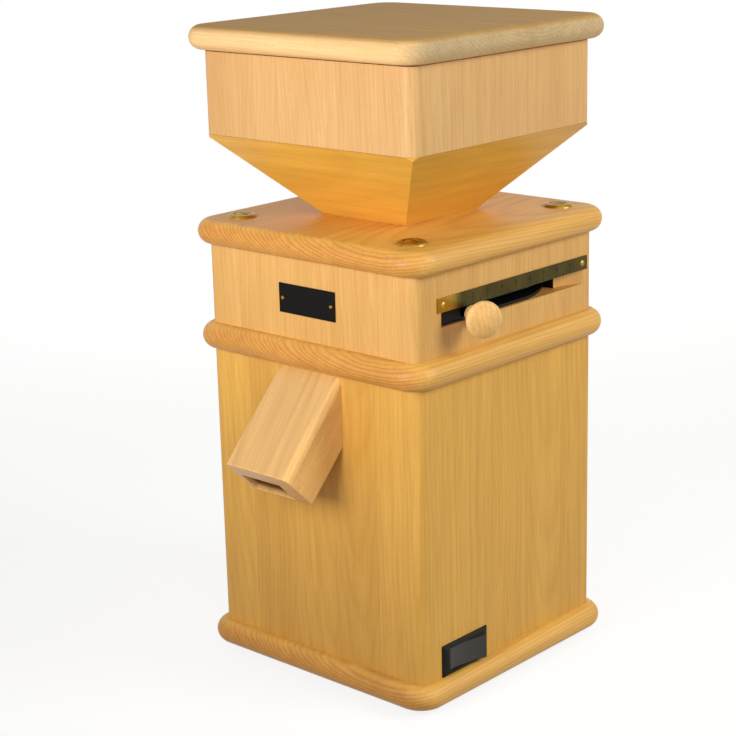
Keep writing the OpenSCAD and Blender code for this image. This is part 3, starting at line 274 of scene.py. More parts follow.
def beech(name, pale, deep, stave, rings=0.28, side=(-0.03, 0.03), depth=(0.06, 0.14), tone=0.05, end_rings=0.5,
          flecks=0.22, gloss=0.35, rough=0.46, top=None, end_tone=(0.93, 0.84, 0.72), in_log=True,
          with_channel_shade=False):
    """Staves of beech. side and depth say where a stave's pith may lie, rings and end_rings how strongly its rings
    show, tone how much staves differ, top what multiplies a level face, painted shade where it is below one and painted
    light where it is above, end_tone what multiplies an end, and with_channel_shade whether a channel gets painted
    shade."""
    wood = Finish(name, Specular_IOR_Level=gloss)
    facing = wood.add("TexCoord").outputs["Normal"]
    if in_log:
        place = wood.add("Attribute", attribute_name="log_place").outputs["Vector"]
    else:
        place = wood.add("TexCoord").outputs["Object"]
    late, within, pick = growth_rings(wood, place, stave, side, depth)
    fibre, streak, cloud, ray = fine_grain(wood, place)

    # Each stave has its own tone, and so has each cloud, streak and fibre
    colour = wood.mix(wood.math("MULTIPLY", late, rings), pale, deep)
    dark_stave = (1 - tone, 1 - 1.4 * tone, 1 - 2.0 * tone)
    light_stave = (1 + 0.7 * tone, 1 + 0.9 * tone, 1 + 1.3 * tone)
    colour = wood.shade(colour, pick, 0.0, 1.0, dark_stave, light_stave)
    colour = wood.shade(colour, cloud, 0.3, 0.7, (0.95, 0.93, 0.89), (1.04, 1.05, 1.06))
    colour = wood.shade(colour, streak, 0.32, 0.68, (0.95, 0.93, 0.88), (1.04, 1.05, 1.07))
    colour = wood.shade(colour, fibre, 0.3, 0.7, (0.94, 0.91, 0.86), (1.05, 1.06, 1.08))
    colour = wood.mix(wood.math("MULTIPLY", ray, flecks), colour, RAY_BROWN)

    # The hairline of glue where two staves meet
    edge = wood.math("MINIMUM", within, wood.math("SUBTRACT", stave, within))
    glue = wood.ramp(wood.math("DIVIDE", edge, GLUE_LINE), (0.35, 0.2), (0.75, 0.0))
    colour = wood.mix(glue, colour, GLUE_BROWN)
    if in_log:
        grain = wood.add("Attribute", attribute_name="grain_way").outputs["Vector"]
        colour = end_grain(wood, colour, place, grain, facing, late, end_rings, end_tone)

    # Painted light on level faces: the colour is multiplied by top the more a face points up, darker where top is below
    # one and lighter where it is above
    if top:
        level = wood.ramp(wood.split(facing)[2], (0.55, 0.0), (0.95, 1.0), smooth=True)
        colour = wood.mix(level, colour, wood.mix(1.0, colour, (*top, 1.0), "MULTIPLY"))

    # Painted shade: deep in the spout's channel, where little light reaches, the colour is darkened
    if with_channel_shade:
        inside = wood.add("Attribute", attribute_name="inside").outputs["Fac"]
        colour = wood.mix(inside, colour, wood.mix(1.0, colour, PAINTED_CHANNEL_SHADE, "MULTIPLY"))

    wood.set("Base Color", colour)
    roughness = wood.math("MULTIPLY_ADD", cloud, 0.14, rough - 0.12)
    wood.set("Roughness", wood.math("MULTIPLY_ADD", fibre, 0.1, roughness))
    height = wood.math("MULTIPLY_ADD", ray, -0.6, wood.math("MULTIPLY_ADD", late, 0.35, fibre))
    wood.bump(height, 0.14, 0.22 * MM)
    return wood.material


print("beech ready")

# %% The mill's own boards
BOARD_STAVE = 0.4
STAVE_OF = {"hopper": 52 * MM, "upper": 50 * MM, "lower": 46 * MM}
# The top values paint light and shade on level faces: the lid's top is painted darker, the boards' tops a little
# lighter, and the spout's upper face darker than its sides. The spout's channel gets painted shade.
WOODS = {
    "lid": beech("beech_lid", srgb(230, 192, 140), srgb(206, 158, 100), BOARD_STAVE, rings=0.14, side=(0.02, 0.06),
                 depth=(0.1, 0.12), end_rings=0.2, gloss=0.1, rough=0.58, top=(0.66, 0.57, 0.36),
                 end_tone=(0.66, 0.74, 0.9)),
    "hopper": beech("beech_hopper", srgb(210, 166, 112), srgb(187, 134, 79), STAVE_OF["hopper"], rings=0.24,
                    side=(0.03, 0.1), depth=(0.05, 0.12)),
    "funnel": beech("beech_funnel", srgb(226, 172, 72), srgb(204, 140, 42), BOARD_STAVE, rings=0.2, tone=0.0,
                    flecks=0.1),
    "board": beech("beech_board", srgb(221, 170, 91), srgb(184, 116, 52), BOARD_STAVE, rings=0.36, side=(0.06, 0.1),
                   depth=(0.17, 0.21), top=(1.03, 1.06, 0.98)),
    "upper": beech("beech_upper", srgb(213, 165, 99), srgb(190, 133, 66), STAVE_OF["upper"], rings=0.22,
                   side=(0.02, 0.09), depth=(0.05, 0.12)),
    "lower": beech("beech_lower", srgb(218, 167, 81), srgb(195, 136, 55), STAVE_OF["lower"], rings=0.26,
                   side=(-0.01, 0.08), depth=(0.05, 0.12), tone=0.11),
    "spout": beech("beech_spout", srgb(232, 185, 120), srgb(204, 146, 78), BOARD_STAVE, rings=0.3, side=(0.0, 0.02),
                   depth=(0.08, 0.1), end_rings=0.3, gloss=0.5, rough=0.36, top=(0.41, 0.41, 0.41), with_channel_shade=True),
    "turned": beech("beech_turned", srgb(236, 197, 138), srgb(214, 165, 102), BOARD_STAVE, rings=0.18, flecks=0.12,
                    end_rings=0.2),
}
print("woods:", ", ".join(WOODS))

# %% [markdown]
# ## Metal, plastic, rubber and stone
#
# Nothing here is one flat colour. Brass that is handled carries a veil of tarnish and fine scratches, moulded plastic
# has a pebbled skin, cast metal is grainy, and rubber is dusty. Each finish takes its pattern from the object's own
# coordinates, at the real size of that pattern, and uses it for colour, for roughness and for a very small bump.

# %% A finish of two tones
def plain_finish(name, light, dark, rough, patch=40.0, grit=900.0, bump=0.1, metallic=0.0, **constants):
    """A finish of two close tones, cloudy at one size and gritty at another."""
    made = Finish(name, Metallic=metallic, **constants)
    place = made.add("TexCoord").outputs["Object"]
    cloud = made.noise(place, patch, 3.0, 0.6)
    grain = made.noise(place, grit, 2.0, 0.6)
    blend = made.math("MULTIPLY_ADD", grain, 0.35, made.math("MULTIPLY", cloud, 0.65))
    made.set("Base Color", made.mix(made.ramp(blend, (0.35, 0.0), (0.65, 1.0)), dark, light))
    made.set("Roughness", made.math("MULTIPLY_ADD", grain, 0.12, made.math("MULTIPLY_ADD", cloud, 0.1, rough - 0.11)))
    made.bump(grain, bump, 0.1 * MM)
    return made.material


print("plain finish ready")

# %% Darkened brass with a painted reflection
REFLECTION_END = 40 * MM
BRUSH_LINES, ALONG_BRUSH, TARNISH = 2600.0, (1.0, 0.02, 1.0), 45.0


def scale_finish():
    """Darkened brass, brushed along the plate. Its dark tone is partly tarnish and partly a painted dark reflection,
    and its front end is painted lighter as a painted reflection.
    """
    made = Finish("scale_brass", Metallic=1.0)
    place = made.add("TexCoord").outputs["Object"]
    lines = made.noise(made.vector("MULTIPLY", place, ALONG_BRUSH), BRUSH_LINES, 2.0, 0.7)
    cloud = made.noise(place, TARNISH, 2.0, 0.5)
    run = made.math("SUBTRACT", made.split(place)[1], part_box("scale_plate")[0].y)
    # Painted reflection: the plate's front end is lightened over its first stretch, and the rest is darkened brass that
    # also stands in for a dark reflection
    painted_reflection = made.ramp(made.math("DIVIDE", run, REFLECTION_END), (0.3, 1.0), (0.75, 0.0), smooth=True)
    tarnish_and_dark_reflection = made.mix(made.ramp(cloud, (0.3, 0.0), (0.7, 1.0)), srgb(64, 54, 20), srgb(80, 68, 28))
    made.set("Base Color", made.mix(painted_reflection, tarnish_and_dark_reflection, srgb(176, 146, 58)))
    made.set("Roughness", made.math("MULTIPLY_ADD", lines, 0.14, made.math("MULTIPLY_ADD", cloud, 0.1, 0.2)))
    made.bump(lines, 0.1, 0.03 * MM)
    return made.material


# The bright end of the scale is a painted reflection
print("the scale is rubbed bright over its first", round(REFLECTION_END / MM), "mm")

# %% All other finishes
FINISHES = {
    "brass": plain_finish("brass", srgb(196, 156, 66), srgb(132, 98, 28), 0.34, patch=160.0, metallic=1.0, bump=0.05),
    "scale_brass": scale_finish(),
    "plate_black": plain_finish("plate_black", srgb(13, 11, 9), srgb(8, 7, 6), 0.4, bump=0.03,
                                Specular_IOR_Level=0.08),
    "plastic_black": plain_finish("plastic_black", srgb(20, 19, 19), srgb(12, 11, 11), 0.4, grit=1400.0,
                                  Specular_IOR_Level=0.15),
    "switch_black": plain_finish("switch_black", srgb(26, 22, 18), srgb(17, 15, 12), 0.4, grit=1600.0, bump=0.15,
                                 Specular_IOR_Level=0.12),
    "rocker_grey": plain_finish("rocker_grey", srgb(48, 45, 39), srgb(36, 34, 30), 0.34, grit=1600.0, bump=0.12,
                                Specular_IOR_Level=0.35),
    "plastic_inner": plain_finish("plastic_inner", srgb(56, 55, 54), srgb(38, 37, 37), 0.5, bump=0.2),
    "plastic_feed": plain_finish("plastic_feed", srgb(236, 228, 206), srgb(220, 208, 180), 0.4),
    "rubber_dark": plain_finish("rubber_dark", srgb(44, 43, 42), srgb(28, 27, 27), 0.75, grit=700.0, bump=0.3),
    "steel": plain_finish("steel", srgb(206, 206, 204), srgb(168, 168, 166), 0.32, metallic=1.0, bump=0.05),
    "rod_dark": plain_finish("rod_dark", srgb(48, 46, 46), srgb(28, 27, 27), 0.3, metallic=1.0, bump=0.06),
    "cast_grey": plain_finish("cast_grey", srgb(176, 178, 180), srgb(138, 140, 142), 0.5, metallic=1.0, grit=500.0,
                              bump=0.35),
    "motor_grey": plain_finish("motor_grey", srgb(112, 118, 122), srgb(88, 92, 96), 0.45, bump=0.2),
    "copper": plain_finish("copper", srgb(168, 92, 52), srgb(120, 58, 30), 0.35, metallic=1.0, grit=1800.0,
                           bump=0.4),
    "felt": plain_finish("felt", srgb(214, 208, 190), srgb(184, 176, 156), 0.9, grit=1200.0, bump=0.6),
    "millstone": plain_finish("millstone", srgb(206, 198, 184), srgb(158, 148, 134), 0.85, patch=300.0, grit=1100.0,
                              bump=0.9),
    "can_metal": plain_finish("can_metal", srgb(200, 200, 196), srgb(178, 178, 174), 0.28, metallic=1.0),
}
print(len(FINISHES), "finishes")

# %% [markdown]
# ## Pieces and where they come from
#
# A new piece has to be told which body it rides on, which finish it wears and which CAD nodes it stands for, which are
# then hidden. One helper says all three. A second one stores the log coordinates that the wood reads.

# %% Making pieces
rolls = random.Random(11)


def piece(name, mesh, finish, nodes, body=None):
    """An object from a mesh, riding where its first node rides and standing for its nodes."""
    made = bpy.data.objects.new(name, mesh)
    bpy.context.scene.collection.objects.link(made)
    mesh.materials.clear()
    mesh.materials.append(finish)
    first = nodes[0] if nodes else None
    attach(made, body or BODY_OF[first])
    if nodes:
        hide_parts(*nodes)
    weight = made.modifiers.new("even_shading", "WEIGHTED_NORMAL")
    weight.keep_sharp = True
    return made


# %% Where a board lies in its log
def log_start(stave=BOARD_STAVE, surface=0.0):
    """Puts a board's middle in the middle of a stave picked at random, and its outer face at no depth."""
    return Vector(((rolls.randrange(40) + 0.5) * stave, surface, 0.0))


def cut_from_log(mesh, board_of):
    """Stores each face corner's place in the log. board_of gives a face's across, deep and along axes and its start."""
    place = mesh.attributes.new("log_place", "FLOAT_VECTOR", "CORNER")
    grain = mesh.attributes.new("grain_way", "FLOAT_VECTOR", "CORNER")
    for face in mesh.polygons:
        across, deep, along, start = board_of(face.center - CASE)
        for loop in face.loop_indices:
            point = mesh.vertices[mesh.loops[loop].vertex_index].co - CASE
            place.data[loop].vector = Vector((point.dot(across), point.dot(deep), point.dot(along))) + start
            grain.data[loop].vector = along


print("log places are stored on every face corner")

# %% One board, or four that meet in mitres
def one_board(across, deep, along, surface):
    start = log_start(surface=surface)
    return lambda centre: (across, deep, along, start)


def four_walls(stave, half, tilt=0.0):
    """Four boards that meet in mitres. Each face belongs to the side that it lies nearest. A tilted wall's grain is
    level, an upright one's stands."""
    starts = [log_start(stave, half * math.cos(tilt)) for side in range(4)]

    def board_of(centre):
        if abs(centre.x) > abs(centre.y):
            out, side = (X, 0) if centre.x > 0 else (-X, 1)
        else:
            out, side = (Y, 2) if centre.y > 0 else (-Y, 3)
        level = Z.cross(out)
        if tilt:
            inward = Z * math.sin(tilt) - out * math.cos(tilt)
            return level.cross(inward), inward, level, starts[side]
        return level, -out, Z, starts[side]
    return board_of


print("logs ready to saw")

# %% Smooth skins with sharp corners
def show_smooth(made_mesh, limit=38.0):
    """Shades curved skin smooth and keeps real corners sharp."""
    work = bmesh.new()
    work.from_mesh(made_mesh)
    for face in work.faces:
        face.smooth = True
    for edge in work.edges:
        edge.smooth = len(edge.link_faces) != 2 or edge.calc_face_angle() < math.radians(limit)
    work.to_mesh(made_mesh)
    work.free()
    return made_mesh


print("shading helper ready")

# %% [markdown]
# ## Boards with a full round edge
#
# The middle board, the top board and the lid all have a half round edge, made on the real ones with a router bit. A
# modifier could bevel a block, but a half round edge meets itself in the middle. It is cleaner to draw the board's
# outline again and again, from its lower face round to its upper one, and to stretch a skin over the rings.

# %% Rings and skins
CORNER_STEPS = 16
EDGE_STEPS = 20


def round_outline(width, depth, radius, steps=CORNER_STEPS):
    """Points of a rectangle with round corners, counter-clockwise, as (x, y)."""
    points = []
    for quarter, (sx, sy) in enumerate(((1, 1), (-1, 1), (-1, -1), (1, -1))):
        for step in range(steps + 1):
            angle = math.radians(90 * quarter + 90 * step / steps)
            points.append((
                sx * (width / 2 - radius) + radius * math.cos(angle),
                sy * (depth / 2 - radius) + radius * math.sin(angle),
            ))
    return points


def skin(name, rings, capped=True, closed=False):
    """A mesh stretched over rings of equally many points."""
    work = bmesh.new()
    rows = [[work.verts.new(point) for point in ring] for ring in rings]
    pairs = list(zip(rows, rows[1:] + rows[:1])) if closed else list(zip(rows, rows[1:]))
    for low, high in pairs:
        for i in range(len(low)):
            j = (i + 1) % len(low)
            work.faces.new((low[i], low[j], high[j], high[i]))
    if capped and not closed:
        work.faces.new(list(reversed(rows[0])))
        work.faces.new(rows[-1])
    mesh = bpy.data.meshes.new(name)
    bmesh.ops.recalc_face_normals(work, faces=work.faces)
    work.to_mesh(mesh)
    work.free()
    return mesh


print("rings of", 4 * (CORNER_STEPS + 1), "points")

# %% The three boards
BOARD_CORNER = 24 * MM


def round_edged_board(name, node, corner, finish, across, along):
    low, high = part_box(node)
    centre = (low + high) / 2
    thick = high.z - low.z
    edge = thick / 2
    rings = []
    for step in range(EDGE_STEPS + 1):
        angle = math.radians(-90 + 180 * step / EDGE_STEPS)
        inset = edge * (1 - math.cos(angle))
        outline = round_outline(high.x - low.x - 2 * inset, high.y - low.y - 2 * inset, corner - inset)
        height = low.z + edge + edge * math.sin(angle)
        rings.append([(centre.x + x, centre.y + y, height) for x, y in outline])
    mesh = show_smooth(skin(name, rings))
    cut_from_log(mesh, one_board(across, -Z, along, high.z))
    return piece(name, mesh, WOODS[finish], [node])


round_edged_board("lid_board", "lid", BOARD_CORNER, "lid", Y, X)
round_edged_board("top_board_round", "top_board", BOARD_CORNER, "board", X, Y)
round_edged_board("middle_board_round", "middle_board", BOARD_CORNER, "board", X, Y)
print("the lid measures", " by ".join(f"{size / MM:.0f}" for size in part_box("lid")[1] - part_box("lid")[0]), "mm")

# %% [markdown]
# ## Cases, hopper and funnel
#
# The CAD solids already have these shapes right, down to the run-out that the slot's cutter left. What they lack is
# the softness of sanded wood: a CAD edge has no width, so it never catches the light. A copy of each solid is cleaned
# of the flat triangles that the export cut it into, its sharp edges are eased by about half a millimetre, and each of
# its boards is given its own place in the log.

# %% Eased copies of CAD solids
SAME_POINT = 0.002 * MM
FLAT_DEGREES, SHARP_DEGREES = 0.5, 30.0


def eased(name, node, ease):
    """A copy of the node's solids, with flat areas merged and sharp edges rounded."""
    work = bmesh.new()
    work.from_mesh(frame["nodes"][node].data)
    bmesh.ops.remove_doubles(work, verts=work.verts, dist=SAME_POINT)
    bmesh.ops.dissolve_limit(work, angle_limit=math.radians(FLAT_DEGREES), verts=work.verts, edges=work.edges)
    if ease:
        sharp = math.radians(SHARP_DEGREES)
        edges = [edge for edge in work.edges if len(edge.link_faces) == 2 and edge.calc_face_angle() > sharp]
        bmesh.ops.bevel(work, geom=edges, offset=ease, segments=2, profile=0.5, affect="EDGES", clamp_overlap=True)
    mesh = bpy.data.meshes.new(name)
    work.to_mesh(mesh)
    work.free()
    return show_smooth(mesh)


def eased_wood(name, node, ease, finish, board_of):
    mesh = eased(name, node, ease)
    cut_from_log(mesh, board_of)
    return piece(name, mesh, WOODS[finish], [node])


print("edges steeper than", SHARP_DEGREES, "degrees are eased")

# %% The wooden walls
HOPPER_HALF = (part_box("hopper_box")[1].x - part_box("hopper_box")[0].x) / 2
FUNNEL_FOOT_HALF = 44.5 * MM
FUNNEL_TILT = math.atan2(HOPPER_HALF - FUNNEL_FOOT_HALF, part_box("funnel")[1].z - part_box("funnel")[0].z)
eased_wood("base_board_round", "base_board", 0.5 * MM, "board", one_board(X, -Z, Y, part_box("base_board")[1].z))
eased_wood("lower_case_walls", "lower_case", 0.4 * MM, "lower", four_walls(STAVE_OF["lower"], CASE_HALF))
eased_wood("upper_case_walls", "upper_case", 0.5 * MM, "upper", four_walls(STAVE_OF["upper"], CASE_HALF))
eased_wood("hopper_walls", "hopper_box", 0.6 * MM, "hopper", four_walls(STAVE_OF["hopper"], HOPPER_HALF))
eased_wood("funnel_walls", "funnel", 1.2 * MM, "funnel", four_walls(BOARD_STAVE, HOPPER_HALF, FUNNEL_TILT))
eased_wood("lid_locator_board", "lid_locator", 0.8 * MM, "board", one_board(Y, -Z, X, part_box("lid_locator")[1].z))
print("wooden walls made; the funnel leans out by", round(math.degrees(FUNNEL_TILT)), "degrees")

# %% [markdown]
# ## The spout
#
# The spout is one stout block with a channel cut through it. Its right upper edge is rounded over more than the others,
# and the channel's mouth isn't in the middle: the wood on its right is thick and the lip under it is thin. A beveled
# CAD copy can't tell one edge from another, so the block is skinned over outlines whose four corners have their own
# radius. Its upper end follows the level underside of the middle board, because the block is cut to fit there.

# %% The spout's measures
SLOPE = math.radians(46)
DOWN_SLOPE = Vector((0, -math.cos(SLOPE), -math.sin(SLOPE)))
UNDER = Vector((0, math.sin(SLOPE), -math.cos(SLOPE)))
SPOUT_LENGTH, SPOUT_DEEP = 94 * MM, 41 * MM
SPOUT_LOW, SPOUT_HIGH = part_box("spout")
SPOUT_HALF = (SPOUT_HIGH.x - SPOUT_LOW.x) / 2
SPOUT_START = Vector((CASE.x, CASE.y - CASE_HALF, SPOUT_HIGH.z - 2 * MM))

# Outlines as left, right, top and bottom, and radii for the right bottom, left bottom, left top and right top corners
BLOCK = (-SPOUT_HALF, SPOUT_HALF, 0.0, SPOUT_DEEP)
MOUTH = (-27.5 * MM, 15 * MM, 16 * MM, 38.6 * MM)
CHANNEL = (-26 * MM, 26 * MM, 7.5 * MM, 33.5 * MM)
RADII_AT_CASE = (2 * MM, 2 * MM, 4.6 * MM, 4.6 * MM)
RADII_OUTSIDE = (2 * MM, 2 * MM, 2.6 * MM, 8 * MM)
RADII_INSIDE = (1.5 * MM,) * 4
LEAST_RADIUS, END_ROUNDING, MOUTH_CHAMFER = 0.4 * MM, 1.0 * MM, 0.6 * MM
TIGHT_UNTIL, ROUND_FROM = 0.5 * MM, 9 * MM
MOUTH_RUN = (0.7, 2.2, 5.5, 30)
BEHIND_CASE = -4 * MM
print(f"the spout slopes {math.degrees(SLOPE):.0f} degrees and is {2 * SPOUT_HALF / MM:.0f} mm wide")

# %% Outlines along the slope
def corner_outline(left, right, top, bottom, radii, steps=6):
    """Points of a rectangle with four radii, as (x, depth)."""
    points = []
    corners = ((right, bottom, -1, -1), (left, bottom, 1, -1), (left, top, 1, 1), (right, top, -1, 1))
    for quarter, ((x, deep, in_x, in_deep), radius) in enumerate(zip(corners, radii)):
        for step in range(steps + 1):
            angle = math.radians(90 * quarter + 90 * step / steps)
            points.append((
                x + in_x * radius + radius * math.cos(angle), deep + in_deep * radius + radius * math.sin(angle)
            ))
    return points


def spout_ring(sides, radii, run):
    """The outline's points in space. run gives how far down the slope each one is, from its depth."""
    outline = corner_outline(*sides, radii)
    return [SPOUT_START + X * x + UNDER * deep + DOWN_SLOPE * run(deep) for x, deep in outline]


# How far down the slope a point of that depth lies where it meets the board above, the case or the end
def to_board(deep):
    return (SPOUT_START.z - SPOUT_HIGH.z - UNDER.z * -deep) / -DOWN_SLOPE.z


def past_case(gap):
    return lambda deep: deep * UNDER.y / -DOWN_SLOPE.y + gap


def before_end(gap):
    return lambda deep: SPOUT_LENGTH - gap


print("ring helpers ready")

# %% The block's rings
def widened(sides, by):
    left, right, top, bottom = sides
    return left - by, right + by, top - by, bottom + by


def spout_block():
    """The rings run down the outside, over the rounded end, into the mouth and back up the channel."""
    rings = [
        spout_ring(BLOCK, RADII_AT_CASE, to_board),
        spout_ring(BLOCK, RADII_AT_CASE, past_case(TIGHT_UNTIL)),
        spout_ring(BLOCK, RADII_OUTSIDE, past_case(ROUND_FROM)),
        spout_ring(BLOCK, RADII_OUTSIDE, before_end(END_ROUNDING)),
    ]
    for share in (0.35, 0.7, 1.0):
        inset = END_ROUNDING * (1 - math.sqrt(1 - share * share))
        radii = tuple(max(radius - inset, LEAST_RADIUS) for radius in RADII_OUTSIDE)
        rings.append(spout_ring(widened(BLOCK, -inset), radii, before_end((1 - share) * END_ROUNDING)))
    rings.append(spout_ring(widened(MOUTH, MOUTH_CHAMFER), RADII_INSIDE, before_end(0.0)))
    mouth_ring = len(rings)
    for gap in MOUTH_RUN:
        rings.append(spout_ring(MOUTH, RADII_INSIDE, before_end(gap * MM)))
    rings.append(spout_ring(CHANNEL, RADII_INSIDE, past_case(BEHIND_CASE)))
    rings.append(spout_ring(CHANNEL, RADII_INSIDE, to_board))
    return show_smooth(skin("spout_block", rings, closed=True), 30.0), mouth_ring * len(rings[0])


spout_mesh, first_inside_point = spout_block()
print("spout points", len(spout_mesh.vertices), "of them in the channel", len(spout_mesh.vertices) - first_inside_point)

# %% The channel's painted shade, and the block's grain
DARK_FROM, DARK_OVER = 2 * MM, 3.5 * MM


def paint_channel_shade(mesh, first_inside):
    """Stores how much painted shade each corner in the channel gets, from 0 at its mouth to 1 deep inside where no
    light comes.
    """
    inside = mesh.attributes.new("inside", "FLOAT", "CORNER")
    for loop in mesh.loops:
        point = mesh.vertices[loop.vertex_index].co
        depth = SPOUT_LENGTH - (point - SPOUT_START).dot(DOWN_SLOPE)
        dark = min(max((depth - DARK_FROM) / DARK_OVER, 0), 1)
        inside.data[loop.index].value = dark if loop.vertex_index >= first_inside else 0.0


GRAIN_SLANT = math.radians(7)
SPOUT_ALONG = DOWN_SLOPE * math.cos(GRAIN_SLANT) + X * math.sin(GRAIN_SLANT)
paint_channel_shade(spout_mesh, first_inside_point)
cut_from_log(spout_mesh, one_board(UNDER.cross(SPOUT_ALONG), UNDER, SPOUT_ALONG, -(SPOUT_START - CASE).dot(UNDER)))
piece("spout_block", spout_mesh, WOODS["spout"], ["spout"])
print("the spout's grain slants", round(math.degrees(GRAIN_SLANT)), "degrees")

# %% [markdown]
# ## The turned knob
#
# The knob was turned on a lathe, so its shape is one outline spun about its rod. The outline is drawn as a list of
# points from the neck over the round rim to the middle of the dome. The grain runs along the rod, as turners lay it.

# %% Lathe work
TIP_RADIUS = 0.02 * MM


def lathe(name, outline, start, axis, steps=64):
    """Spins (distance along the axis, radius) points about the axis."""
    axis = axis.normalized()
    side = axis.orthogonal().normalized()
    other = axis.cross(side)
    rings = []
    for height, radius in outline:
        ring = []
        for step in range(steps):
            angle = 2 * math.pi * step / steps
            out = side * math.cos(angle) + other * math.sin(angle)
            ring.append(start + axis * height + out * max(radius, TIP_RADIUS))
        rings.append(ring)
    return show_smooth(skin(name, rings), 50.0)


def smoothed(points, rounds=2):
    """Cuts the corners off an open outline, which rounds it."""
    for turn in range(rounds):
        cut = [points[0]]
        for (a, b), (c, d) in zip(points, points[1:]):
            cut += [(0.75 * a + 0.25 * c, 0.75 * b + 0.25 * d), (0.25 * a + 0.75 * c, 0.25 * b + 0.75 * d)]
        points = cut + [points[-1]]
    return points


print("lathe ready")

# %% The knob on its lever
LEVER_ANGLE, LEVER_REACH = math.radians(-27), 133 * MM
STONES_BACK = 7 * MM
LEVER_WAY = Vector((math.cos(LEVER_ANGLE), math.sin(LEVER_ANGLE), 0))
ROD_LOW, ROD_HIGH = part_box("lever_rod")
STONE_AXIS = CASE + Vector((0, STONES_BACK, (ROD_LOW.z + ROD_HIGH.z) / 2))
KNOB_OUTLINE = (
    (0, 3.4), (0, 6.2), (0.4, 7.0), (4, 7.1), (9, 8.0), (14, 10.0), (17.5, 12.0), (18.4, 13.4),
    (20.2, 14.45), (22.6, 14.6), (24.8, 13.9), (26.4, 12.0), (27.6, 9.0), (28.5, 5.5), (29, 2.4), (29, 0.0),
)
knob_outline = smoothed([(height * MM, radius * MM) for height, radius in KNOB_OUTLINE])
knob_mesh = lathe("knob_turned", knob_outline, STONE_AXIS + LEVER_WAY * LEVER_REACH, LEVER_WAY)
cut_from_log(knob_mesh, one_board(LEVER_WAY.orthogonal().normalized(), Z, LEVER_WAY, -STONE_AXIS.z))
piece("knob_turned", knob_mesh, WOODS["turned"], ["knob"])
print("knob outline of", len(knob_outline), "points")

# %% [markdown]
# ## Brass, black fittings and small hardware
#
# The small parts keep their CAD shapes with eased edges, so every screw slot and plate has a bright rim. One table
# says which piece stands for which node, how many millimetres its edges are eased and what it is made of.

# %% Fittings
EASED_PARTS = [
    ("cup_washers_round", "cup_washers", 0.25, "brass"),
    ("top_screws_eased", "top_screws", 0.25, "brass"),
    ("scale_plate_eased", "scale_plate", 0.2, "scale_brass"),
    ("scale_screws_eased", "scale_screws", 0.0, "brass"),
    ("nameplate_eased", "nameplate", 0.2, "plate_black"),
    ("nameplate_pins_eased", "nameplate_pins", 0.15, "brass"),
    ("switch_frame_eased", "switch_frame", 0.35, "switch_black"),
    ("rocker_eased", "rocker", 0.6, "rocker_grey"),
    ("cord_gland_eased", "cord_gland", 0.5, "plastic_inner"),
    ("feet_eased", "feet", 0.6, "rubber_dark"),
    ("feet_screws_eased", "feet_screws", 0.2, "steel"),
    ("base_screws_eased", "base_screws", 0.2, "steel"),
    ("lever_rod_eased", "lever_rod", 0.3, "rod_dark"),
]
for part_name, part_node, ease_mm, finish_name in EASED_PARTS:
    piece(part_name, eased(part_name, part_node, ease_mm * MM), FINISHES[finish_name], [part_node])
print(len(EASED_PARTS), "eased fittings")

# %% [markdown]
# ## The guide in the slot
#
# The black guide follows the sweep of the lever: its face bulges out nearly to the case's side and falls back in an arc
# towards the slot's far end. The CAD guide has a plain flat face there. A copy is cut across at even steps and its
# front points are moved out to the arc, which keeps the slit that the rod slides in.

# %% Bulge the guide's face
GUIDE_FACE, GUIDE_ARC = CASE_HALF - 11 * MM, CASE_HALF - 3 * MM
BULGE_ARC, BULGE_FACE = CASE_HALF - 0.6 * MM, CASE_HALF - 3 * MM
CUTS = range(-80, 60, 10)
NEAR = 0.5 * MM


def bulged_guide():
    mesh = eased("slot_guide_bulged", "slot_guide", 0.3 * MM)
    work = bmesh.new()
    work.from_mesh(mesh)
    for step in CUTS:
        everything = [*work.verts, *work.edges, *work.faces]
        bmesh.ops.bisect_plane(work, geom=everything, plane_co=STONE_AXIS + Y * step * MM, plane_no=Y)
    moved = 0
    for point in work.verts:
        out, back = point.co.x - STONE_AXIS.x, point.co.y - STONE_AXIS.y
        if abs(out - GUIDE_FACE) < NEAR:
            old = GUIDE_FACE
        elif abs(math.hypot(out, back) - GUIDE_ARC) < NEAR and out > 0:
            old = math.sqrt(GUIDE_ARC ** 2 - back ** 2)
        else:
            continue
        sweep = math.sqrt(BULGE_ARC ** 2 - max(back, 0) ** 2)
        point.co.x += min(sweep, BULGE_FACE) - old
        moved += 1
    work.to_mesh(mesh)
    work.free()
    return show_smooth(mesh), moved


guide_mesh, guide_points = bulged_guide()
piece("slot_guide_bulged", guide_mesh, FINISHES["plastic_black"], ["slot_guide"])
print("guide points moved:", guide_points)

# %% [markdown]
# ## The engraved scale
#
# The brass plate is engraved with fine ticks and plain numerals, filled with black. Engraving could be painted by a
# material, but real thin shapes stay sharp from any distance. They lie a hair's breadth over the plate, so that the
# two faces don't fight for the same pixels.

# %% Ticks
PLATE_LOW, PLATE_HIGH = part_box("scale_plate")
PLATE_MIDDLE = (PLATE_LOW.y + PLATE_HIGH.y) / 2
MARK_LIFT = 0.04 * MM
MARK_X = PLATE_HIGH.x + MARK_LIFT
TICK_STEP, TICK_HALF = 9 * MM, 0.22 * MM
TICK_FOOT, LONG_TICK, SHORT_TICK = PLATE_LOW.z + 0.8 * MM, 3.2 * MM, 2.0 * MM
TICKS_EACH_WAY = 8


def engrave_ticks(work):
    for count in range(-TICKS_EACH_WAY, TICKS_EACH_WAY + 1):
        at_y = PLATE_MIDDLE + count * TICK_STEP
        tip = TICK_FOOT + (LONG_TICK if count % 2 == 0 else SHORT_TICK)
        corners = ((at_y - TICK_HALF, TICK_FOOT), (at_y + TICK_HALF, TICK_FOOT), (at_y + TICK_HALF, tip),
                   (at_y - TICK_HALF, tip))
        work.faces.new([work.verts.new((MARK_X, y, z)) for y, z in corners])


print("ticks every", round(TICK_STEP / MM), "mm")

# %% Numerals
NUMERAL_SIZE, NUMERAL_FOOT = 5.2 * MM, PLATE_LOW.z + 5.2 * MM


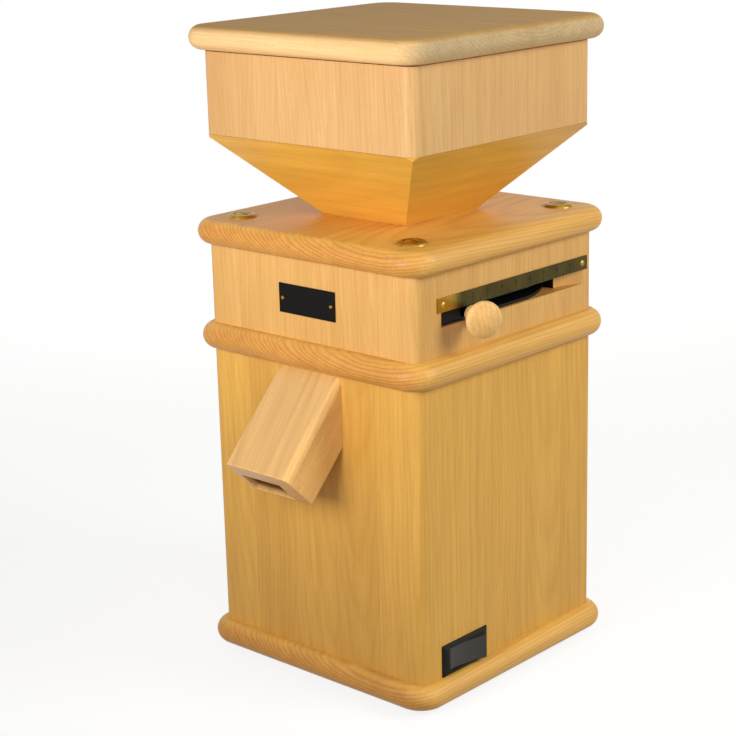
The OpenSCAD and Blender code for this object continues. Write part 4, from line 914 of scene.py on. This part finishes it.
def engrave_numerals(work):
    """One numeral over every long tick. A text object is made, turned into a mesh and removed."""
    for count in range(TICKS_EACH_WAY + 1):
        letters = bpy.data.curves.new("numeral", "FONT")
        letters.body = str(count + 1)
        letters.size = NUMERAL_SIZE
        letters.align_x = "CENTER"
        carrier = bpy.data.objects.new("numeral", letters)
        bpy.context.scene.collection.objects.link(carrier)
        drawn = bpy.data.meshes.new_from_object(carrier.evaluated_get(bpy.context.evaluated_depsgraph_get()))
        turn = Matrix((Y, Z, X)).transposed().to_4x4()
        at_y = PLATE_MIDDLE + (2 * count - TICKS_EACH_WAY) * TICK_STEP
        turn.translation = Vector((MARK_X, at_y, NUMERAL_FOOT))
        drawn.transform(turn)
        work.from_mesh(drawn)
        bpy.data.meshes.remove(drawn)
        bpy.data.objects.remove(carrier)
        bpy.data.curves.remove(letters)


def engraving():
    work = bmesh.new()
    engrave_ticks(work)
    engrave_numerals(work)
    mesh = bpy.data.meshes.new("scale_marks")
    work.to_mesh(mesh)
    work.free()
    return mesh


marks_mesh = engraving()
piece("scale_marks", marks_mesh, FINISHES["plate_black"], [], body="case_body")
print("scale marks of", len(marks_mesh.polygons), "faces")

# %% [markdown]
# ## What stays from the CAD
#
# The motor, the stones and their fixings are inside, so their solids stay as they are. Each still gets the finish that
# its slot in the record asks for, because they are part of the model and may be looked at when it is taken apart.

# %% Finish the inner parts
INNER_WOOD = beech("beech_inner", srgb(223, 168, 97), srgb(198, 134, 66), 50 * MM, in_log=False)
for node_name, node in frame["nodes"].items():
    if node.hide_render:
        continue
    slot_name = SLOT_OF[node_name]
    node_finish = FINISHES.get(slot_name, INNER_WOOD)
    if not node.data.materials:
        node.data.materials.append(node_finish)
    for index in range(len(node.material_slots)):
        node.material_slots[index].material = node_finish
print("inner parts finished")

# %% [markdown]
# ## A small studio
#
# The mill stands on a plain pale floor. One soft lamp hangs low and near, straight in front, so that the top of the
# front is brighter than its foot and the lid's top stays dim. A second one, on the right and a little behind, lights
# the side with the lever. A wide faint one fills in from the corner between them. A low one behind lights the back,
# under the lid's height, and leaves no shine. The white surroundings are shown only to the camera and in reflections,
# so that they don't add light to the wood. The floor fades out into that white.

# %% The floor's shape
FLOOR_RADIUS, FLOOR_SIDES, FLOOR_RINGS = 2.6, 96, 32
FLOOR_DROP = 0.2 * MM


def floor_mesh():
    rings = []
    for step in range(FLOOR_RINGS + 1):
        reach = max(FLOOR_RADIUS * step / FLOOR_RINGS, 1 * MM)
        turns = [2 * math.pi * k / FLOOR_SIDES for k in range(FLOOR_SIDES)]
        rings.append([(reach * math.cos(turn), reach * math.sin(turn), -FLOOR_DROP) for turn in turns])
    return skin("floor", rings, capped=False)


print("floor", 2 * FLOOR_RADIUS, "m across")

# %% Paper that fades into white
PAPER_SEEN, PAPER_FELT = (0.97, 0.97, 0.97, 1.0), (0.3, 0.3, 0.29, 1.0)
WHITE_SHARE, WHITE_GLOW = 0.8, 1.04


def floor_finish():
    """Pale paper that shows its shadow on mostly plain white, and throws little light back at the wood."""
    made = Finish("floor_paper", Roughness=0.9, Specular_IOR_Level=0.1)
    place = made.add("TexCoord").outputs["Object"]
    reach = made.add("VectorMath", [(0, place)], operation="LENGTH").outputs["Value"]
    fade = made.ramp(made.math("DIVIDE", reach, FLOOR_RADIUS), (0.2, 0.0), (0.75, 1.0), smooth=True)
    white = made.add("Emission", {"Color": (1.0, 1.0, 1.0, 1.0), "Strength": WHITE_GLOW})
    clear = made.add("BsdfTransparent")
    path = made.add("LightPath").outputs
    sees = made.math("MAXIMUM", path["Is Camera Ray"], path["Is Glossy Ray"])
    sees = made.math("MAXIMUM", sees, path["Is Transmission Ray"])
    made.set("Base Color", made.mix(sees, PAPER_FELT, PAPER_SEEN))
    shadow = made.add("MixShader", [(0, made.math("MULTIPLY", sees, WHITE_SHARE))])
    edge = made.add("MixShader", [(0, fade)])
    for shader, socket in ((made.surface, shadow.inputs[1]), (white, shadow.inputs[2]), (shadow, edge.inputs[1]),
                           (clear, edge.inputs[2])):
        made.put(socket, shader.outputs[0])
    output = next(node for node in made.tree.nodes if node.type == "OUTPUT_MATERIAL")
    made.put(output.inputs[0], edge.outputs[0])
    return made.material


floor = bpy.data.objects.new("floor", floor_mesh())
floor.location = CASE
floor.data.materials.append(floor_finish())
bpy.context.scene.collection.objects.link(floor)
print("floor laid at", round(floor.location.x, 3), round(floor.location.y, 3))

# %% Four lamps
def soft_lamp(name, place, target, size, watts, tint):
    """A square or oblong lamp. place and target are measured from the case's middle on the table."""
    data = bpy.data.lights.new(name, "AREA")
    data.shape = "RECTANGLE"
    data.size, data.size_y = size
    data.energy = watts
    data.color = tint
    lamp = bpy.data.objects.new(name, data)
    lamp.location = CASE + Vector(place)
    lamp.rotation_mode = "QUATERNION"
    lamp.rotation_quaternion = (Vector(target) - Vector(place)).to_track_quat("-Z", "Y")
    bpy.context.scene.collection.objects.link(lamp)
    return lamp


FRONT_SPREAD = math.radians(98)
front_lamp = soft_lamp("front_lamp", (0.04, -0.76, 0.5), (0.0, 0.0, 0.42), (0.42, 0.42), 1.7, (1.0, 0.98, 0.92))
front_lamp.data.spread = FRONT_SPREAD
soft_lamp("side_lamp", (1.22, 0.46, 0.94), (0.0, 0.0, 0.3), (0.6, 0.6), 13.5, (0.97, 1.0, 0.87))
soft_lamp("fill_lamp", (1.15, -1.15, 0.7), (0.0, 0.0, 0.3), (0.9, 0.9), 5.0, (0.97, 1.0, 0.92))
back_lamp = soft_lamp("back_lamp", (-1.15, 1.2, 0.2), (0.0, 0.0, 0.2), (0.8, 0.3), 14, (1.0, 1.0, 0.94))
back_lamp.visible_camera = False
back_lamp.visible_glossy = False
print("lamps:", ", ".join(thing.name for thing in bpy.context.scene.objects if thing.type == "LIGHT"))

# %% White surroundings
AMBIENT_TINT, AMBIENT_LIGHT = (1.0, 0.98, 0.95, 1.0), 0.25


def surroundings():
    world = bpy.data.worlds.new("surroundings")
    world.use_nodes = True
    tree = world.node_tree
    tree.nodes.clear()
    output = tree.nodes.new("ShaderNodeOutputWorld")
    seen, felt = (tree.nodes.new("ShaderNodeBackground") for side in range(2))
    seen.inputs["Color"].default_value = (1.0, 1.0, 1.0, 1.0)
    seen.inputs["Strength"].default_value = 1.0
    felt.inputs["Color"].default_value = AMBIENT_TINT
    felt.inputs["Strength"].default_value = AMBIENT_LIGHT
    path = tree.nodes.new("ShaderNodeLightPath")
    sees = path.outputs["Is Camera Ray"]
    for name in ("Is Glossy Ray", "Is Transmission Ray"):
        both = tree.nodes.new("ShaderNodeMath")
        both.operation = "MAXIMUM"
        tree.links.new(sees, both.inputs[0])
        tree.links.new(path.outputs[name], both.inputs[1])
        sees = both.outputs[0]
    mix = tree.nodes.new("ShaderNodeMixShader")
    tree.links.new(sees, mix.inputs[0])
    tree.links.new(felt.outputs[0], mix.inputs[1])
    tree.links.new(seen.outputs[0], mix.inputs[2])
    tree.links.new(mix.outputs[0], output.inputs[0])
    return world


bpy.context.scene.world = surroundings()
bpy.context.scene.view_settings.view_transform = "Standard"
print("studio ready")

# %% [markdown]
# ## The camera's place
#
# The camera stands where the photograph's own perspective says: 1.5 m away, at the right front corner, above the lid,
# tipped down and a little to one side. Its directions come from its yaw, pitch and roll.

# %% Camera
YAW, PITCH, ROLL = math.radians(42.51), math.radians(-15.77), math.radians(-1.45)
CAMERA_PLACE = Vector((1.00123, -1.13660, 0.67134))
FOCAL_PIXELS, PICTURE_PIXELS = 1868.79, 736
SENSOR_MM = 36
ahead = Vector((-math.sin(YAW) * math.cos(PITCH), math.cos(YAW) * math.cos(PITCH), math.sin(PITCH)))
level = Vector((math.cos(YAW), math.sin(YAW), 0))
over = level.cross(ahead)
right = level * math.cos(ROLL) + over * math.sin(ROLL)
upward = over * math.cos(ROLL) - level * math.sin(ROLL)

camera_data = bpy.data.cameras.new("camera")
camera_data.sensor_width = SENSOR_MM
camera_data.lens = FOCAL_PIXELS * SENSOR_MM / PICTURE_PIXELS
camera = bpy.data.objects.new("camera", camera_data)
turned = Matrix((right, upward, -ahead)).transposed().to_4x4()
turned.translation = CASE + CAMERA_PLACE
camera.matrix_world = turned
bpy.context.scene.collection.objects.link(camera)
bpy.context.scene.camera = camera
print("camera lens", round(camera_data.lens, 1), "mm")
